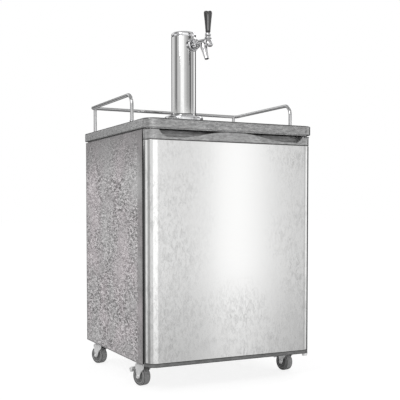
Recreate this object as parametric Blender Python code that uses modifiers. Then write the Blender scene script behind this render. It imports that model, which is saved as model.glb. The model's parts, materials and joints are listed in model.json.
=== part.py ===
"""A full-size kegerator: a wheeled refrigerator for one keg, with a beer tower, a tap and a guard rail.

Metres, +Z up. The origin is on the floor under the middle of the worktop, and the door faces -Y.
"""

import math

import bmesh
import bpy
from mathutils import Matrix, Vector

# Worktop
WORKTOP_WIDTH = 0.609
WORKTOP_DEPTH = 0.601
WORKTOP_HEIGHT = 0.840
WORKTOP_THICKNESS = 0.032
WORKTOP_FRONT_RADIUS = 0.038
WORKTOP_REAR_RADIUS = 0.012
WORKTOP_EDGE_ROUND = 0.003
SIDE_OVERHANG = 0.0055
FRONT_OVERHANG = 0.004
REAR_OVERHANG = 0.0025

# Clearances and general fineness
SEAT_GAP = 0.0003
OVERRUN = 0.006
MERGE_DISTANCE = 0.00001
ROUND_STEPS = 20
SMALL_STEPS = 12
TOWER_STEPS = 36
CORNER_STEPS = 4
SHARP_ANGLE = math.radians(35)

# Cabinet: steel wrap, back, base, insulation and the plastic liner
CASTER_HEIGHT = 0.077
WRAP_THICKNESS = 0.0015
WRAP_CORNER_RADIUS = 0.0018
PANEL_THICKNESS = 0.0015
BASE_THICKNESS = 0.003
SIDE_INSULATION = 0.035
REAR_INSULATION = 0.034
FLOOR_INSULATION = 0.026
CEILING_INSULATION = 0.026
LINER_WALL = 0.0025
HUMP_REACH = 0.133
HUMP_HEIGHT = 0.172
HUMP_INSULATION = 0.026
SHELF_RAIL_COUNT = 3
SHELF_RAIL_RISE = 0.160
SHELF_RAIL_FIRST = 0.215
SHELF_RAIL_SIZE = 0.006
SHELF_RAIL_DEPTH = 0.380
SHELF_RAIL_SETBACK = 0.030

# Door
DOOR_THICKNESS = 0.038
DOOR_GAP = 0.009
DOOR_SKIN_THICKNESS = 0.0012
DOOR_FRONT_RADIUS = 0.034
DOOR_REAR_RADIUS = 0.0035
DOOR_CORNER_STEPS = 6
DOOR_SKIN_RETURN = 0.014
DOOR_SKIN_BOTTOM = 0.0880
DOOR_SKIN_TOP = 0.7737
DOOR_CAP_BOTTOM = 0.0750
DOOR_WORKTOP_GAP = 0.0020
DOOR_LINER_THICKNESS = 0.0025
DOOR_RIB_COUNT = 5
DOOR_RIB_WIDTH = 0.008
DOOR_RIB_RISE = 0.002
DOOR_RIB_PITCH = 0.085
DOOR_RIB_MARGIN = 0.060
GASKET_WIDTH = 0.014
GASKET_INSET = 0.019
GASKET_MARGIN = 0.010
GASKET_ROUND = 0.002

# Finger scoops in the door's top cap
SCOOP_HALF_WIDTH = 0.262
SCOOP_END_LENGTH = 0.030
LIP_LOW_RISE = 0.010
LIP_MIDDLE_WIDTH = 0.020
LIP_SLOPE_WIDTH = 0.180
LIP_WALL = 0.006
LIP_STEPS = 14
POCKET_FLOOR = 0.005
POCKET_DEPTH = 0.020
POCKET_INNER_X = 0.060
POCKET_OUTER_X = 0.252
POCKET_RADIUS = 0.008
SCOOP_STEP = 0.001

# Door hinges
HINGE_FROM_SIDE = 0.018
HINGE_FROM_FRONT = 0.0145
HINGE_FLANGE_WIDTH = 0.040
HINGE_LEAF_THICKNESS = 0.003
HINGE_FLANGE_THICKNESS = 0.002
HINGE_FLANGE_HEIGHT = 0.019
HINGE_NOSE = 0.0095
HINGE_NOSE_RADIUS = 0.0106
HINGE_LEAF_INSET = 0.006
HINGE_PIN_RADIUS = 0.0035
HINGE_PIN_REACH = 0.011
HINGE_PIN_CLEARANCE = 0.0004
HINGE_BOSS_RADIUS = 0.008
HINGE_BOSS_DROP = 0.006
HINGE_NOTCH_WIDTH = 0.035
HINGE_NOTCH_CLEARANCE = 0.0012
HINGE_TOP_CLEARANCE = 0.0008

# Inside the cabinet
KEG_PLATE_SIDE_MARGIN = 0.0390
KEG_PLATE_REAR_MARGIN = 0.0269
KEG_PLATE_THICKNESS = 0.0025
KEG_PLATE_RADIUS = 0.020
KEG_PLATE_SETBACK = 0.015
EVAPORATOR_WIDTH = 0.300
EVAPORATOR_HEIGHT = 0.260
EVAPORATOR_THICKNESS = 0.002
EVAPORATOR_TUBE_RADIUS = 0.004
EVAPORATOR_TUBE_PROUD = 0.0025
EVAPORATOR_RUNS = 6
EVAPORATOR_MARGIN = 0.024
EVAPORATOR_BEND_SHARE = 0.4
EVAPORATOR_SHIFT = -0.060
EVAPORATOR_BELOW_CEILING = 0.040
CONTROL_WIDTH = 0.110
CONTROL_HEIGHT = 0.070
CONTROL_DEPTH = 0.042
CONTROL_FROM_SIDE = 0.0840
CONTROL_BELOW_CEILING = 0.030
CONTROL_ROUND = 0.006
KNOB_RADIUS = 0.017
KNOB_DEPTH = 0.014
KNOB_ROUND = 0.002
KNOB_POINTER_WIDTH = 0.004
KNOB_POINTER_RISE = 0.0015
KNOB_GAP = 0.0005
KNOB_SHAFT_RADIUS = 0.003
KNOB_SHAFT_CLEARANCE = 0.0003
KNOB_SHAFT_DEPTH = 0.010

# Compressor compartment
COMPRESSOR_WIDTH = 0.150
COMPRESSOR_DEPTH = 0.084
COMPRESSOR_HEIGHT = 0.128
COMPRESSOR_ROUND = 0.030
COMPRESSOR_SEAM = 0.003
COMPRESSOR_SEAM_HEIGHT = 0.006
COMPRESSOR_SEAM_RISE = 0.070
COMPRESSOR_PLATE_WIDTH = 0.200
COMPRESSOR_PLATE_DEPTH = 0.070
COMPRESSOR_PLATE_THICKNESS = 0.003
COMPRESSOR_FOOT_RADIUS = 0.009
COMPRESSOR_FOOT_HEIGHT = 0.012
COMPRESSOR_FOOT_INSET = 0.016
COMPRESSOR_TUBE_RADIUS = 0.004
COMPRESSOR_TUBE_LENGTH = 0.028
COMPRESSOR_X = -0.120
COVER_SLOT_ROWS = 6
COVER_SLOT_COLUMNS = 2
COVER_SLOT_LENGTH = 0.200
COVER_SLOT_WIDTH = 0.007
COVER_SLOT_PITCH = 0.020
COVER_SLOT_SPACING = 0.240
COVER_SLOT_FIRST = 0.040
GLAND_HOLE_RADIUS = 0.005
GLAND_RING_RADIUS = 0.009
GLAND_RING_RISE = 0.001
GLAND_FROM_SIDE = 0.025
GLAND_RISE = 0.020

# Guard rail
RAIL_RADIUS = 0.0057
REAR_POST_RADIUS = 0.0055
RAIL_HEIGHT = 0.0874
RAIL_SIDE_INSET = 0.0075
RAIL_FRONT_SETBACK = 0.139
RAIL_REAR_SETBACK = 0.530
RAIL_FRONT_BEND = 0.024
RAIL_REAR_BEND = 0.011
RAIL_REAR_POST_INSET = 0.011
RAIL_BEND_STEPS = 6
RAIL_PROFILE_STEPS = 2
FOOT_RADIUS = 0.0072
FOOT_HEIGHT = 0.004
FOOT_ROUND = 0.0025

# Drip tray in the worktop
TRAY_WIDTH = 0.300
TRAY_DEPTH = 0.130
TRAY_FROM_FRONT = 0.212
TRAY_RADIUS = 0.012
TRAY_RIM = 0.006
TRAY_RIM_THICKNESS = 0.003
TRAY_WALL = 0.002
TRAY_WELL = 0.014
TRAY_CLEARANCE = 0.001
TRAY_LEDGE = 0.005
GRATE_THICKNESS = 0.002
GRATE_SLOT_COUNT = 14
GRATE_SLOT_WIDTH = 0.006
GRATE_SLOT_MARGIN = 0.014

# Beer tower
TOWER_FROM_FRONT = 0.3842
TOWER_RADIUS = 0.0442
TOWER_WALL = 0.0015
TOWER_TOP = 1.1960
TOWER_CAP_HEIGHT = 0.0125
TOWER_CAP_ROUND = 0.007
TOWER_CAP_SKIRT = 0.014
TOWER_BASE_RADIUS = 0.070
TOWER_BASE_HEIGHT = 0.062
TOWER_BASE_SHOULDER = 0.008
TOWER_BASE_LIP = 0.0025
TOWER_HOLE_RADIUS = 0.030

# Tap: distances are along the tap from the tower's axis
TAP_TURN = math.radians(18)
SHANK_HEIGHT = 1.1480
SHANK_RADIUS = 0.0090
SHANK_BORE = 0.0060
SHANK_START = 0.022
SHANK_CLEARANCE = 0.0006
SHANK_NUT_RADIUS = 0.0150
SHANK_NUT_START = 0.0310
SHANK_NUT_LENGTH = 0.0080
ESCUTCHEON_RADIUS = 0.0240
ESCUTCHEON_FACE = 0.0540
ESCUTCHEON_ROUND = 0.004
ESCUTCHEON_DISH = 0.002
COUPLING_RADIUS = 0.0165
COUPLING_START = 0.0545
COUPLING_LENGTH = 0.0180
COUPLING_LIP = 0.0025
COUPLING_NOTCHES = 10
COUPLING_NOTCH_RADIUS = 0.0022
BODY_FLANGE_RADIUS = 0.0130
BODY_FLANGE_LENGTH = 0.0030
BARREL_RADIUS = 0.0100
BARREL_BORE = 0.0041
TAP_REACH = 0.1240
HEAD_BOTTOM = -0.0180
HEAD_TOP = 0.0097
HEAD_BORE = 0.0078
HEAD_BORE_FLOOR = -0.0060
HEAD_PROFILE_RADII = (0.0112, 0.0116, 0.0130, 0.0140, 0.0143, 0.0132, 0.0100, 0.0052)
HEAD_PROFILE_SHARES = (0.0, 0.10, 0.25, 0.40, 0.55, 0.72, 0.88, 0.97)
SPOUT_START = 0.1020
SPOUT_TIP = 0.1215
SPOUT_DROP = 0.0600
SPOUT_TOP_RADIUS = 0.0112
SPOUT_TIP_RADIUS = 0.0088
SPOUT_BORE = 0.0062
BONNET_RADIUS = 0.0116
BONNET_BORE = 0.0076
BONNET_BORE_TOP = 0.0050
BONNET_OPENING = 53
BONNET_FOOT = 86

# Tap lever and handle, from the lever's pivot
LEVER_PIVOT_RISE = 0.0120
LEVER_BALL_RADIUS = 0.0070
LEVER_STEM_RADIUS = 0.0031
LEVER_TAIL_RADIUS = 0.0018
LEVER_TAIL_REACH = 0.0130
LEVER_STEM_TOP = 0.0300
FERRULE_CUP_RADIUS = 0.0119
FERRULE_CUP_EDGE = 54
FERRULE_TOP = 0.0190
FERRULE_RADIUS = 0.0101
FERRULE_SHOULDER = 0.0128
FERRULE_SIDE = 0.0085
FERRULE_NECK_RADIUS = 0.0066
FERRULE_CLEARANCE = 0.0003
HANDLE_BOTTOM = 0.0193
HANDLE_TOP = 0.0928
HANDLE_RADIUS = 0.0156
HANDLE_LOBES = 4
HANDLE_LOBE_DEPTH_SHARE = 0.13
HANDLE_SOCKET_DEPTH = 0.0112
HANDLE_SOCKET_CLEARANCE = 0.0004
HANDLE_HEIGHT_SHARES = (0.0, 0.05, 0.30, 0.60, 0.82, 0.91, 0.96, 0.99, 1.0)
HANDLE_RADIUS_SHARES = (0.58, 0.60, 0.69, 0.83, 0.97, 1.0, 0.95, 0.78, 0.55)
HANDLE_SIDES = 24

# Tap plunger
PLUNGER_RADIUS = 0.0035
PLUNGER_START = 0.0600
PLUNGER_END = 0.1295
PLUNGER_SEAL_RADIUS = 0.0052
PLUNGER_SEAL_LENGTH = 0.0030
PLUNGER_SEAL_GAP = 0.0006
PLUNGER_SLOT_HALF_LENGTH = 0.0033
PLUNGER_SLOT_HALF_WIDTH = 0.0022

# Casters
CASTER_FROM_SIDE = 0.0315
CASTER_FROM_FRONT = 0.0415
CASTER_FROM_REAR = 0.0980
CASTER_TRAIL = 0.026
CASTER_HEADINGS = {
    "front_left": math.radians(16),
    "front_right": math.radians(8),
    "rear_left": math.radians(20),
    "rear_right": math.radians(14),
}
PLATE_HALF_WIDTH = 0.0280
PLATE_RADIUS = 0.006
PLATE_THICKNESS = 0.0025
RACE_RADIUS = 0.0180
RACE_HEIGHT = 0.0042
KINGPIN_RADIUS = 0.0045
KINGPIN_CLEARANCE = 0.0005
KINGPIN_HEAD_RADIUS = 0.0080
KINGPIN_HEAD_HEIGHT = 0.0022
FORK_TOP_THICKNESS = 0.0022
FORK_TOP_RADIUS = 0.0200
FORK_CHEEK_THICKNESS = 0.0020
FORK_WHEEL_CLEARANCE = 0.0012
FORK_FRONT_REACH = 0.0100
FORK_REAR_REACH = 0.0400
FORK_AXLE_RADIUS = 0.0074
FORK_CHEEK_DEPTH = 0.0100
CHEEK_FRONT_REACH = 0.0020
CHEEK_WAIST = (0.0125, 0.0440)
WHEEL_RADIUS = 0.030
WHEEL_WIDTH = 0.026
WHEEL_SHOULDER = 0.002
WHEEL_RIM_RADIUS = 0.0225
WHEEL_DISH = 0.004
WHEEL_HUB_RADIUS = 0.0085
WHEEL_BORE_CLEARANCE = 0.0003
WHEEL_HUB_CLEARANCE = 0.0004
WHEEL_STEPS = 18
AXLE_RADIUS = 0.0040
AXLE_HEAD_RADIUS = 0.0068
AXLE_HEAD_LENGTH = 0.0035
AXLE_SIDES = 8
BRAKE_PIVOT_TRAIL = 0.0370
BRAKE_PIVOT_DROP = 0.0045
BRAKE_PIN_RADIUS = 0.0018
BRAKE_PIN_CLEARANCE = 0.0003
BRAKE_HALF_WIDTH = 0.0110
BRAKE_THICKNESS = 0.0020
BRAKE_REACH = 0.0450
BRAKE_SLOPE = math.radians(19)
BRAKE_NOSE_RADIUS = 0.0080
BRAKE_EYE_RADIUS = 0.0034
BRAKE_PAD_START = 0.0290
BRAKE_PAD_DEPTH = 0.0090

# Finishes: base colour, roughness and metallic value
STAINLESS = ((0.78, 0.78, 0.77, 1.0), 0.28, 1.0)
CHROME = ((0.84, 0.84, 0.85, 1.0), 0.08, 1.0)
ZINC = ((0.66, 0.66, 0.66, 1.0), 0.40, 1.0)
ALUMINIUM = ((0.76, 0.76, 0.76, 1.0), 0.35, 1.0)
GREY_PAINT = ((0.26, 0.25, 0.26, 1.0), 0.55, 0.0)
BLACK_PAINT = ((0.02, 0.02, 0.02, 1.0), 0.40, 0.0)
GREY_PLASTIC = ((0.36, 0.36, 0.36, 1.0), 0.50, 0.0)
DARK_PLASTIC = ((0.07, 0.07, 0.07, 1.0), 0.45, 0.0)
WHITE_PLASTIC = ((0.80, 0.80, 0.78, 1.0), 0.45, 0.0)
BLACK_GLOSS = ((0.012, 0.012, 0.012, 1.0), 0.18, 0.0)
RUBBER = ((0.10, 0.10, 0.10, 1.0), 0.70, 0.0)
FOAM = ((0.75, 0.66, 0.42, 1.0), 0.90, 0.0)

# Places that several pieces share
FRONT_Y = -WORKTOP_DEPTH / 2
REAR_Y = WORKTOP_DEPTH / 2 - REAR_OVERHANG
CABINET_HALF = WORKTOP_WIDTH / 2 - SIDE_OVERHANG
CABINET_TOP = WORKTOP_HEIGHT - WORKTOP_THICKNESS - SEAT_GAP
DOOR_FRONT_Y = FRONT_Y + FRONT_OVERHANG
DOOR_BACK_Y = DOOR_FRONT_Y + DOOR_THICKNESS
CABINET_FRONT_Y = DOOR_BACK_Y + DOOR_GAP
DOOR_CAP_TOP = WORKTOP_HEIGHT - WORKTOP_THICKNESS - DOOR_WORKTOP_GAP
INNER_HALF = CABINET_HALF - WRAP_THICKNESS - SEAT_GAP
BASE_TOP = CASTER_HEIGHT + BASE_THICKNESS
FOAM_BOTTOM = BASE_TOP + SEAT_GAP
FOAM_TOP = CABINET_TOP - WRAP_THICKNESS - SEAT_GAP
FOAM_FRONT_Y = CABINET_FRONT_Y + LINER_WALL + SEAT_GAP
FOAM_REAR_Y = REAR_Y - PANEL_THICKNESS - SEAT_GAP
CAVITY_HALF = INNER_HALF - SIDE_INSULATION
CAVITY_FLOOR = FOAM_BOTTOM + FLOOR_INSULATION
CAVITY_CEILING = FOAM_TOP - CEILING_INSULATION
CAVITY_REAR_Y = FOAM_REAR_Y - REAR_INSULATION
HUMP_Y = REAR_Y - HUMP_REACH
HUMP_TOP = CAVITY_FLOOR + HUMP_HEIGHT
NICHE_Y = HUMP_Y + HUMP_INSULATION
NICHE_TOP = HUMP_TOP - HUMP_INSULATION
LINER_HALF = CAVITY_HALF - SEAT_GAP - LINER_WALL
LINER_FLOOR = CAVITY_FLOOR + SEAT_GAP + LINER_WALL
LINER_CEILING = CAVITY_CEILING - SEAT_GAP - LINER_WALL
LINER_REAR_Y = CAVITY_REAR_Y - SEAT_GAP - LINER_WALL
TOWER_Y = FRONT_Y + TOWER_FROM_FRONT
HINGE_X = CABINET_HALF - HINGE_FROM_SIDE
HINGE_Y = DOOR_FRONT_Y + HINGE_FROM_FRONT
RAIL_X = WORKTOP_WIDTH / 2 - RAIL_SIDE_INSET
RAIL_FRONT_Y = FRONT_Y + RAIL_FRONT_SETBACK
RAIL_REAR_Y = FRONT_Y + RAIL_REAR_SETBACK
RAIL_Z = WORKTOP_HEIGHT + RAIL_HEIGHT
TRAY_Y = FRONT_Y + TRAY_FROM_FRONT
TRAY_TOP = WORKTOP_HEIGHT + SEAT_GAP + TRAY_RIM_THICKNESS
CONTROL_X = LINER_HALF - CONTROL_FROM_SIDE
CASTER_X = CABINET_HALF - CASTER_FROM_SIDE
CASTER_FRONT_Y = CABINET_FRONT_Y + CASTER_FROM_FRONT
CASTER_REAR_Y = REAR_Y - CASTER_FROM_REAR
WHEEL_HALF = WHEEL_WIDTH / 2
CHEEK_INNER = WHEEL_HALF + FORK_WHEEL_CLEARANCE
CHEEK_OUTER = CHEEK_INNER + FORK_CHEEK_THICKNESS
RACE_BOTTOM = CASTER_HEIGHT - SEAT_GAP - PLATE_THICKNESS - RACE_HEIGHT
FORK_TOP = RACE_BOTTOM - SEAT_GAP
FORK_UNDERSIDE = FORK_TOP - FORK_TOP_THICKNESS
LEVER_PIVOT = Vector((0.0, -TAP_REACH, LEVER_PIVOT_RISE))
BODY_START = COUPLING_START + COUPLING_LENGTH - COUPLING_LIP - SEAT_GAP - BODY_FLANGE_LENGTH

# A turned shape along the tap, along a side-to-side axle, and a side outline swept across the cabinet
TOWARDS_FRONT = Matrix.Rotation(math.radians(90), 4, "X")
TOWARDS_SIDE = Matrix.Rotation(math.radians(90), 4, "Y")
SIDE_OUTLINE = Matrix(((0, 0, 1, 0), (1, 0, 0, 0), (0, 1, 0, 0), (0, 0, 0, 1)))
FRONT_OUTLINE = Matrix.Rotation(math.radians(90), 4, "X")


def start_scene():
    """Empties the scene and makes one collection for the parts and one for what cuts or joins them."""
    for obj in list(bpy.data.objects):
        bpy.data.objects.remove(obj, do_unlink=True)
    parts = bpy.data.collections.new("kegerator")
    helpers = bpy.data.collections.new("kegerator_helpers")
    for collection in (parts, helpers):
        bpy.context.scene.collection.children.link(collection)
    return parts, helpers


PARTS, HELPERS = start_scene()


def empty(name, place, turn=0.0, parent=None):
    """An axis or a frame that pieces hang from."""
    obj = bpy.data.objects.new(name, None)
    obj.location = place
    obj.rotation_euler = (0.0, 0.0, turn)
    obj.parent = parent
    PARTS.objects.link(obj)
    return obj


def add(name, mesh, finish=None, place=Matrix.Identity(4), parent=None):
    """Puts a mesh in the scene: as a piece where it has a finish, otherwise as a helper."""
    obj = bpy.data.objects.new(name, mesh)
    obj.parent = parent
    obj.matrix_basis = place
    if finish is None:
        obj.hide_render = True
        obj.display_type = "WIRE"
        HELPERS.objects.link(obj)
        return obj
    colour, roughness, metallic = finish
    material = bpy.data.materials.new(name)
    material.use_nodes = True
    shader = material.node_tree.nodes["Principled BSDF"]
    shader.inputs["Base Color"].default_value = colour
    shader.inputs["Roughness"].default_value = roughness
    shader.inputs["Metallic"].default_value = metallic
    mesh.materials.append(material)
    mesh.shade_smooth()
    mesh.set_sharp_from_angle(angle=SHARP_ANGLE)
    PARTS.objects.link(obj)
    return obj


def mesh_from(bm, name):
    mesh = bpy.data.meshes.new(name)
    bm.to_mesh(mesh)
    bm.free()
    return mesh


def box_mesh(low, high, name="box"):
    """A box between two corners."""
    low, high = Vector(low), Vector(high)
    bm = bmesh.new()
    place = Matrix.Translation((low + high) / 2) @ Matrix.Diagonal((*(high - low), 1.0))
    bmesh.ops.create_cube(bm, size=1.0, matrix=place)
    return mesh_from(bm, name)


def rod_mesh(radius, low, high, steps=SMALL_STEPS, end_radius=None, name="rod"):
    """A rod or a cone along Z between two heights."""
    bm = bmesh.new()
    top = radius if end_radius is None else end_radius
    bmesh.ops.create_cone(
        bm,
        cap_ends=True,
        segments=steps,
        radius1=radius,
        radius2=top,
        depth=high - low,
        matrix=Matrix.Translation((0.0, 0.0, (low + high) / 2)),
    )
    return mesh_from(bm, name)


def turned_mesh(profile, closed=False, name="turned"):
    """A profile in the XZ plane, which a Screw modifier turns. It runs down the outer side."""
    bm = bmesh.new()
    points = [bm.verts.new((radius, 0.0, height)) for radius, height in profile]
    for first, second in zip(points, points[1:]):
        bm.edges.new((first, second))
    if closed:
        bm.edges.new((points[-1], points[0]))
    return mesh_from(bm, name)


def turned(
    name, profile, finish=None, closed=False, steps=ROUND_STEPS, place=Matrix.Identity(4), parent=None
):
    obj = add(name, turned_mesh(profile, closed, name), finish, place, parent)
    screw = obj.modifiers.new("turn", "SCREW")
    screw.steps = screw.render_steps = steps
    screw.use_merge_vertices = True
    screw.merge_threshold = MERGE_DISTANCE
    screw.use_smooth_shade = True
    return obj


def arc(centre, radius, start, end, steps):
    """Points on a circle's arc, angles in degrees."""
    angles = [math.radians(start + (end - start) * step / steps) for step in range(steps + 1)]
    return [(centre[0] + radius * math.cos(a), centre[1] + radius * math.sin(a)) for a in angles]


def rounded_outline(low, high, front_radius, rear_radius=None, steps=CORNER_STEPS):
    """A rectangle, anticlockwise. The first radius rounds the corners at low Y, and zero rounds none."""
    rear = front_radius if rear_radius is None else rear_radius
    corners = (
        ((low[0], low[1]), front_radius, 180),
        ((high[0], low[1]), front_radius, 270),
        ((high[0], high[1]), rear, 0),
        ((low[0], high[1]), rear, 90),
    )
    points = []
    for (x, y), radius, start in corners:
        centre = (x + radius if x == low[0] else x - radius, y + radius if y == low[1] else y - radius)
        points += arc(centre, radius, start, start + 90, steps) if radius else [(x, y)]
    return points


def slot_outline(centre, length, width, steps=4):
    """A slot with round ends that runs along X."""
    radius, reach = width / 2, length / 2 - width / 2
    right = arc((centre[0] + reach, centre[1]), radius, -90, 90, steps)
    left = arc((centre[0] - reach, centre[1]), radius, 90, 270, steps)
    return right + left


def solid_of_curve(name, curve, place):
    """The closed mesh of a filled curve, welded at its caps, with its place applied."""
    guide = bpy.data.objects.new(name + "_guide", curve)
    HELPERS.objects.link(guide)
    bpy.context.view_layer.update()
    graph = bpy.context.evaluated_depsgraph_get()
    mesh = bpy.data.meshes.new_from_object(guide.evaluated_get(graph))
    bpy.data.objects.remove(guide, do_unlink=True)
    bpy.data.curves.remove(curve)
    bm = bmesh.new()
    bm.from_mesh(mesh)
    bmesh.ops.remove_doubles(bm, verts=bm.verts, dist=MERGE_DISTANCE)
    bmesh.ops.recalc_face_normals(bm, faces=bm.faces)
    bm.to_mesh(mesh)
    bm.free()
    mesh.transform(place)
    return mesh


def plate_mesh(outlines, low, high, turn=Matrix.Identity(4), name="plate"):
    """A flat outline, with the outlines of its holes, between two levels across its plane."""
    curve = bpy.data.curves.new(name, "CURVE")
    curve.dimensions = "2D"
    curve.fill_mode = "BOTH"
    curve.extrude = (high - low) / 2
    for outline in outlines:
        spline = curve.splines.new("POLY")
        spline.points.add(len(outline) - 1)
        for point, (x, y) in zip(spline.points, outline):
            point.co = (x, y, 0.0, 1.0)
        spline.use_cyclic_u = True
    place = turn @ Matrix.Translation((0.0, 0.0, (low + high) / 2))
    return solid_of_curve(name, curve, place)


def tube_mesh(points, radius, resolution=2, name="tube"):
    """A round bar along a line of points."""
    curve = bpy.data.curves.new(name, "CURVE")
    curve.dimensions = "3D"
    curve.bevel_depth = radius
    curve.bevel_resolution = resolution
    curve.use_fill_caps = True
    spline = curve.splines.new("POLY")
    spline.points.add(len(points) - 1)
    for point, place in zip(spline.points, points):
        point.co = (*place, 1.0)
    return solid_of_curve(name, curve, Matrix.Identity(4))


def filleted_path(corners, radii, steps):
    """A line through corner points, each inner corner rounded to its radius."""
    points = [Vector(corners[0])]
    for index, radius in enumerate(radii, start=1):
        corner = Vector(corners[index])
        back = (Vector(corners[index - 1]) - corner).normalized()
        ahead = (Vector(corners[index + 1]) - corner).normalized()
        half = back.angle(ahead) / 2
        centre = corner + (back + ahead).normalized() * (radius / math.sin(half))
        start = corner + back * (radius / math.tan(half)) - centre
        end = corner + ahead * (radius / math.tan(half)) - centre
        turn = start.angle(end)
        for step in range(steps + 1):
            share = step / steps
            near, far = math.sin((1 - share) * turn), math.sin(share * turn)
            points.append(centre + (start * near + end * far) / math.sin(turn))
    points.append(Vector(corners[-1]))
    return points


def sheet_mesh(path, sweep, name="sheet"):
    """An open surface: a line of points swept by one step."""
    bm = bmesh.new()
    points = [bm.verts.new(point) for point in path]
    edges = [bm.edges.new(pair) for pair in zip(points, points[1:])]
    swept = bmesh.ops.extrude_edge_only(bm, edges=edges)
    moved = [item for item in swept["geom"] if isinstance(item, bmesh.types.BMVert)]
    bmesh.ops.translate(bm, verts=moved, vec=sweep)
    return mesh_from(bm, name)


def loft_mesh(rings, name="loft"):
    """A closed skin over rings of equally many points, the lowest ring first."""
    bm = bmesh.new()
    rows = [[bm.verts.new(point) for point in ring] for ring in rings]
    for below, above in zip(rows, rows[1:]):
        for index in range(len(below)):
            after = (index + 1) % len(below)
            bm.faces.new((below[index], below[after], above[after], above[index]))
    bm.faces.new(list(reversed(rows[0])))
    bm.faces.new(rows[-1])
    return mesh_from(bm, name)


def thicken(obj, thickness, side):
    """Solidify towards one side of the open surface."""
    solidify = obj.modifiers.new("thickness", "SOLIDIFY")
    solidify.thickness = thickness
    solidify.offset = side
    solidify.use_even_offset = True
    return obj


def bevel(obj, width, segments=2, angle=40):
    """Rounds the edges sharper than the angle, in degrees."""
    modifier = obj.modifiers.new("edges", "BEVEL")
    modifier.width = width
    modifier.segments = segments
    modifier.limit_method = "ANGLE"
    modifier.angle_limit = math.radians(angle)
    return obj


def combine(obj, other, operation):
    boolean = obj.modifiers.new(other.name, "BOOLEAN")
    boolean.object = other
    boolean.operation = operation
    boolean.solver = "EXACT"
    return obj


def cut(obj, *others):
    for other in others:
        combine(obj, other, "DIFFERENCE")
    return obj


def join(obj, *others):
    for other in others:
        combine(obj, other, "UNION")
    return obj


# Cabinet

def make_wrap():
    """The steel wrap: both sides and the top in one folded sheet."""
    half = CABINET_HALF
    right = arc((half - WRAP_CORNER_RADIUS, CABINET_TOP - WRAP_CORNER_RADIUS), WRAP_CORNER_RADIUS, 0, 90, 3)
    left = [(-x, z) for x, z in reversed(right)]
    outline = [(half, CASTER_HEIGHT)] + right + left + [(-half, CASTER_HEIGHT)]
    path = [(x, CABINET_FRONT_Y, z) for x, z in outline]
    wrap = add("cabinet_wrap", sheet_mesh(path, (0.0, REAR_Y - CABINET_FRONT_Y, 0.0)), GREY_PAINT)
    thicken(wrap, WRAP_THICKNESS, -1)
    return cut(wrap, tower_drill("wrap_drill"))


def tower_drill(name):
    """The hole under the tower, through the top of the cabinet."""
    drill = rod_mesh(TOWER_HOLE_RADIUS, LINER_CEILING - OVERRUN, WORKTOP_HEIGHT + OVERRUN, ROUND_STEPS)
    return add(name, drill, place=Matrix.Translation((0.0, TOWER_Y, 0.0)))


def make_back_panel():
    low = (-INNER_HALF, REAR_Y - PANEL_THICKNESS, NICHE_TOP + SEAT_GAP)
    high = (INNER_HALF, REAR_Y, FOAM_TOP)
    add("back_panel", box_mesh(low, high), GREY_PAINT)


def make_base_pan():
    low = (-INNER_HALF, CABINET_FRONT_Y, CASTER_HEIGHT)
    high = (INNER_HALF, REAR_Y - PANEL_THICKNESS - SEAT_GAP, BASE_TOP)
    add("base_pan", box_mesh(low, high), ZINC)


def cavity_outline(inset, front_y):
    """The inside of the cabinet seen from the side, drawn in by the inset, with the hump over the niche."""
    return [
        (front_y, CAVITY_FLOOR + inset),
        (HUMP_Y - inset, CAVITY_FLOOR + inset),
        (HUMP_Y - inset, HUMP_TOP + inset),
        (CAVITY_REAR_Y - inset, HUMP_TOP + inset),
        (CAVITY_REAR_Y - inset, CAVITY_CEILING - inset),
        (front_y, CAVITY_CEILING - inset),
    ]


def make_insulation():
    outline = [
        (FOAM_FRONT_Y, FOAM_BOTTOM),
        (NICHE_Y, FOAM_BOTTOM),
        (NICHE_Y, NICHE_TOP),
        (FOAM_REAR_Y, NICHE_TOP),
        (FOAM_REAR_Y, FOAM_TOP),
        (FOAM_FRONT_Y, FOAM_TOP),
    ]
    half = INNER_HALF - SEAT_GAP
    foam = add("insulation", plate_mesh([outline], -half, half, SIDE_OUTLINE), FOAM)
    hollow = cavity_outline(0.0, FOAM_FRONT_Y - OVERRUN)
    hollow_cutter = add("foam_hollow", plate_mesh([hollow], -CAVITY_HALF, CAVITY_HALF, SIDE_OUTLINE))
    return cut(foam, hollow_cutter, tower_drill("foam_drill"))


def make_liner():
    """The plastic tub, with a flange over the front of the insulation and rails for shelves."""
    outer_half = CAVITY_HALF - SEAT_GAP
    tub = plate_mesh([cavity_outline(SEAT_GAP, CABINET_FRONT_Y)], -outer_half, outer_half, SIDE_OUTLINE)
    liner = add("inner_liner", tub, WHITE_PLASTIC)
    flange_low = (-INNER_HALF + SEAT_GAP, CABINET_FRONT_Y, FOAM_BOTTOM)
    flange_high = (INNER_HALF - SEAT_GAP, CABINET_FRONT_Y + LINER_WALL, FOAM_TOP)
    join(liner, add("liner_flange", box_mesh(flange_low, flange_high)))
    inside = cavity_outline(SEAT_GAP + LINER_WALL, CABINET_FRONT_Y - OVERRUN)
    cut(liner, add("liner_inside", plate_mesh([inside], -LINER_HALF, LINER_HALF, SIDE_OUTLINE)))
    front = CABINET_FRONT_Y + SHELF_RAIL_SETBACK
    for side in (-1, 1):
        for level in range(SHELF_RAIL_COUNT):
            height = LINER_FLOOR + SHELF_RAIL_FIRST + level * SHELF_RAIL_RISE
            wall = side * (LINER_HALF + LINER_WALL / 2)
            tip = side * (LINER_HALF - SHELF_RAIL_SIZE)
            low = (min(wall, tip), front, height)
            high = (max(wall, tip), front + SHELF_RAIL_DEPTH, height + SHELF_RAIL_SIZE)
            join(liner, add(f"shelf_rail_{side}_{level}", box_mesh(low, high)))
    return cut(liner, tower_drill("liner_drill"))


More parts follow.
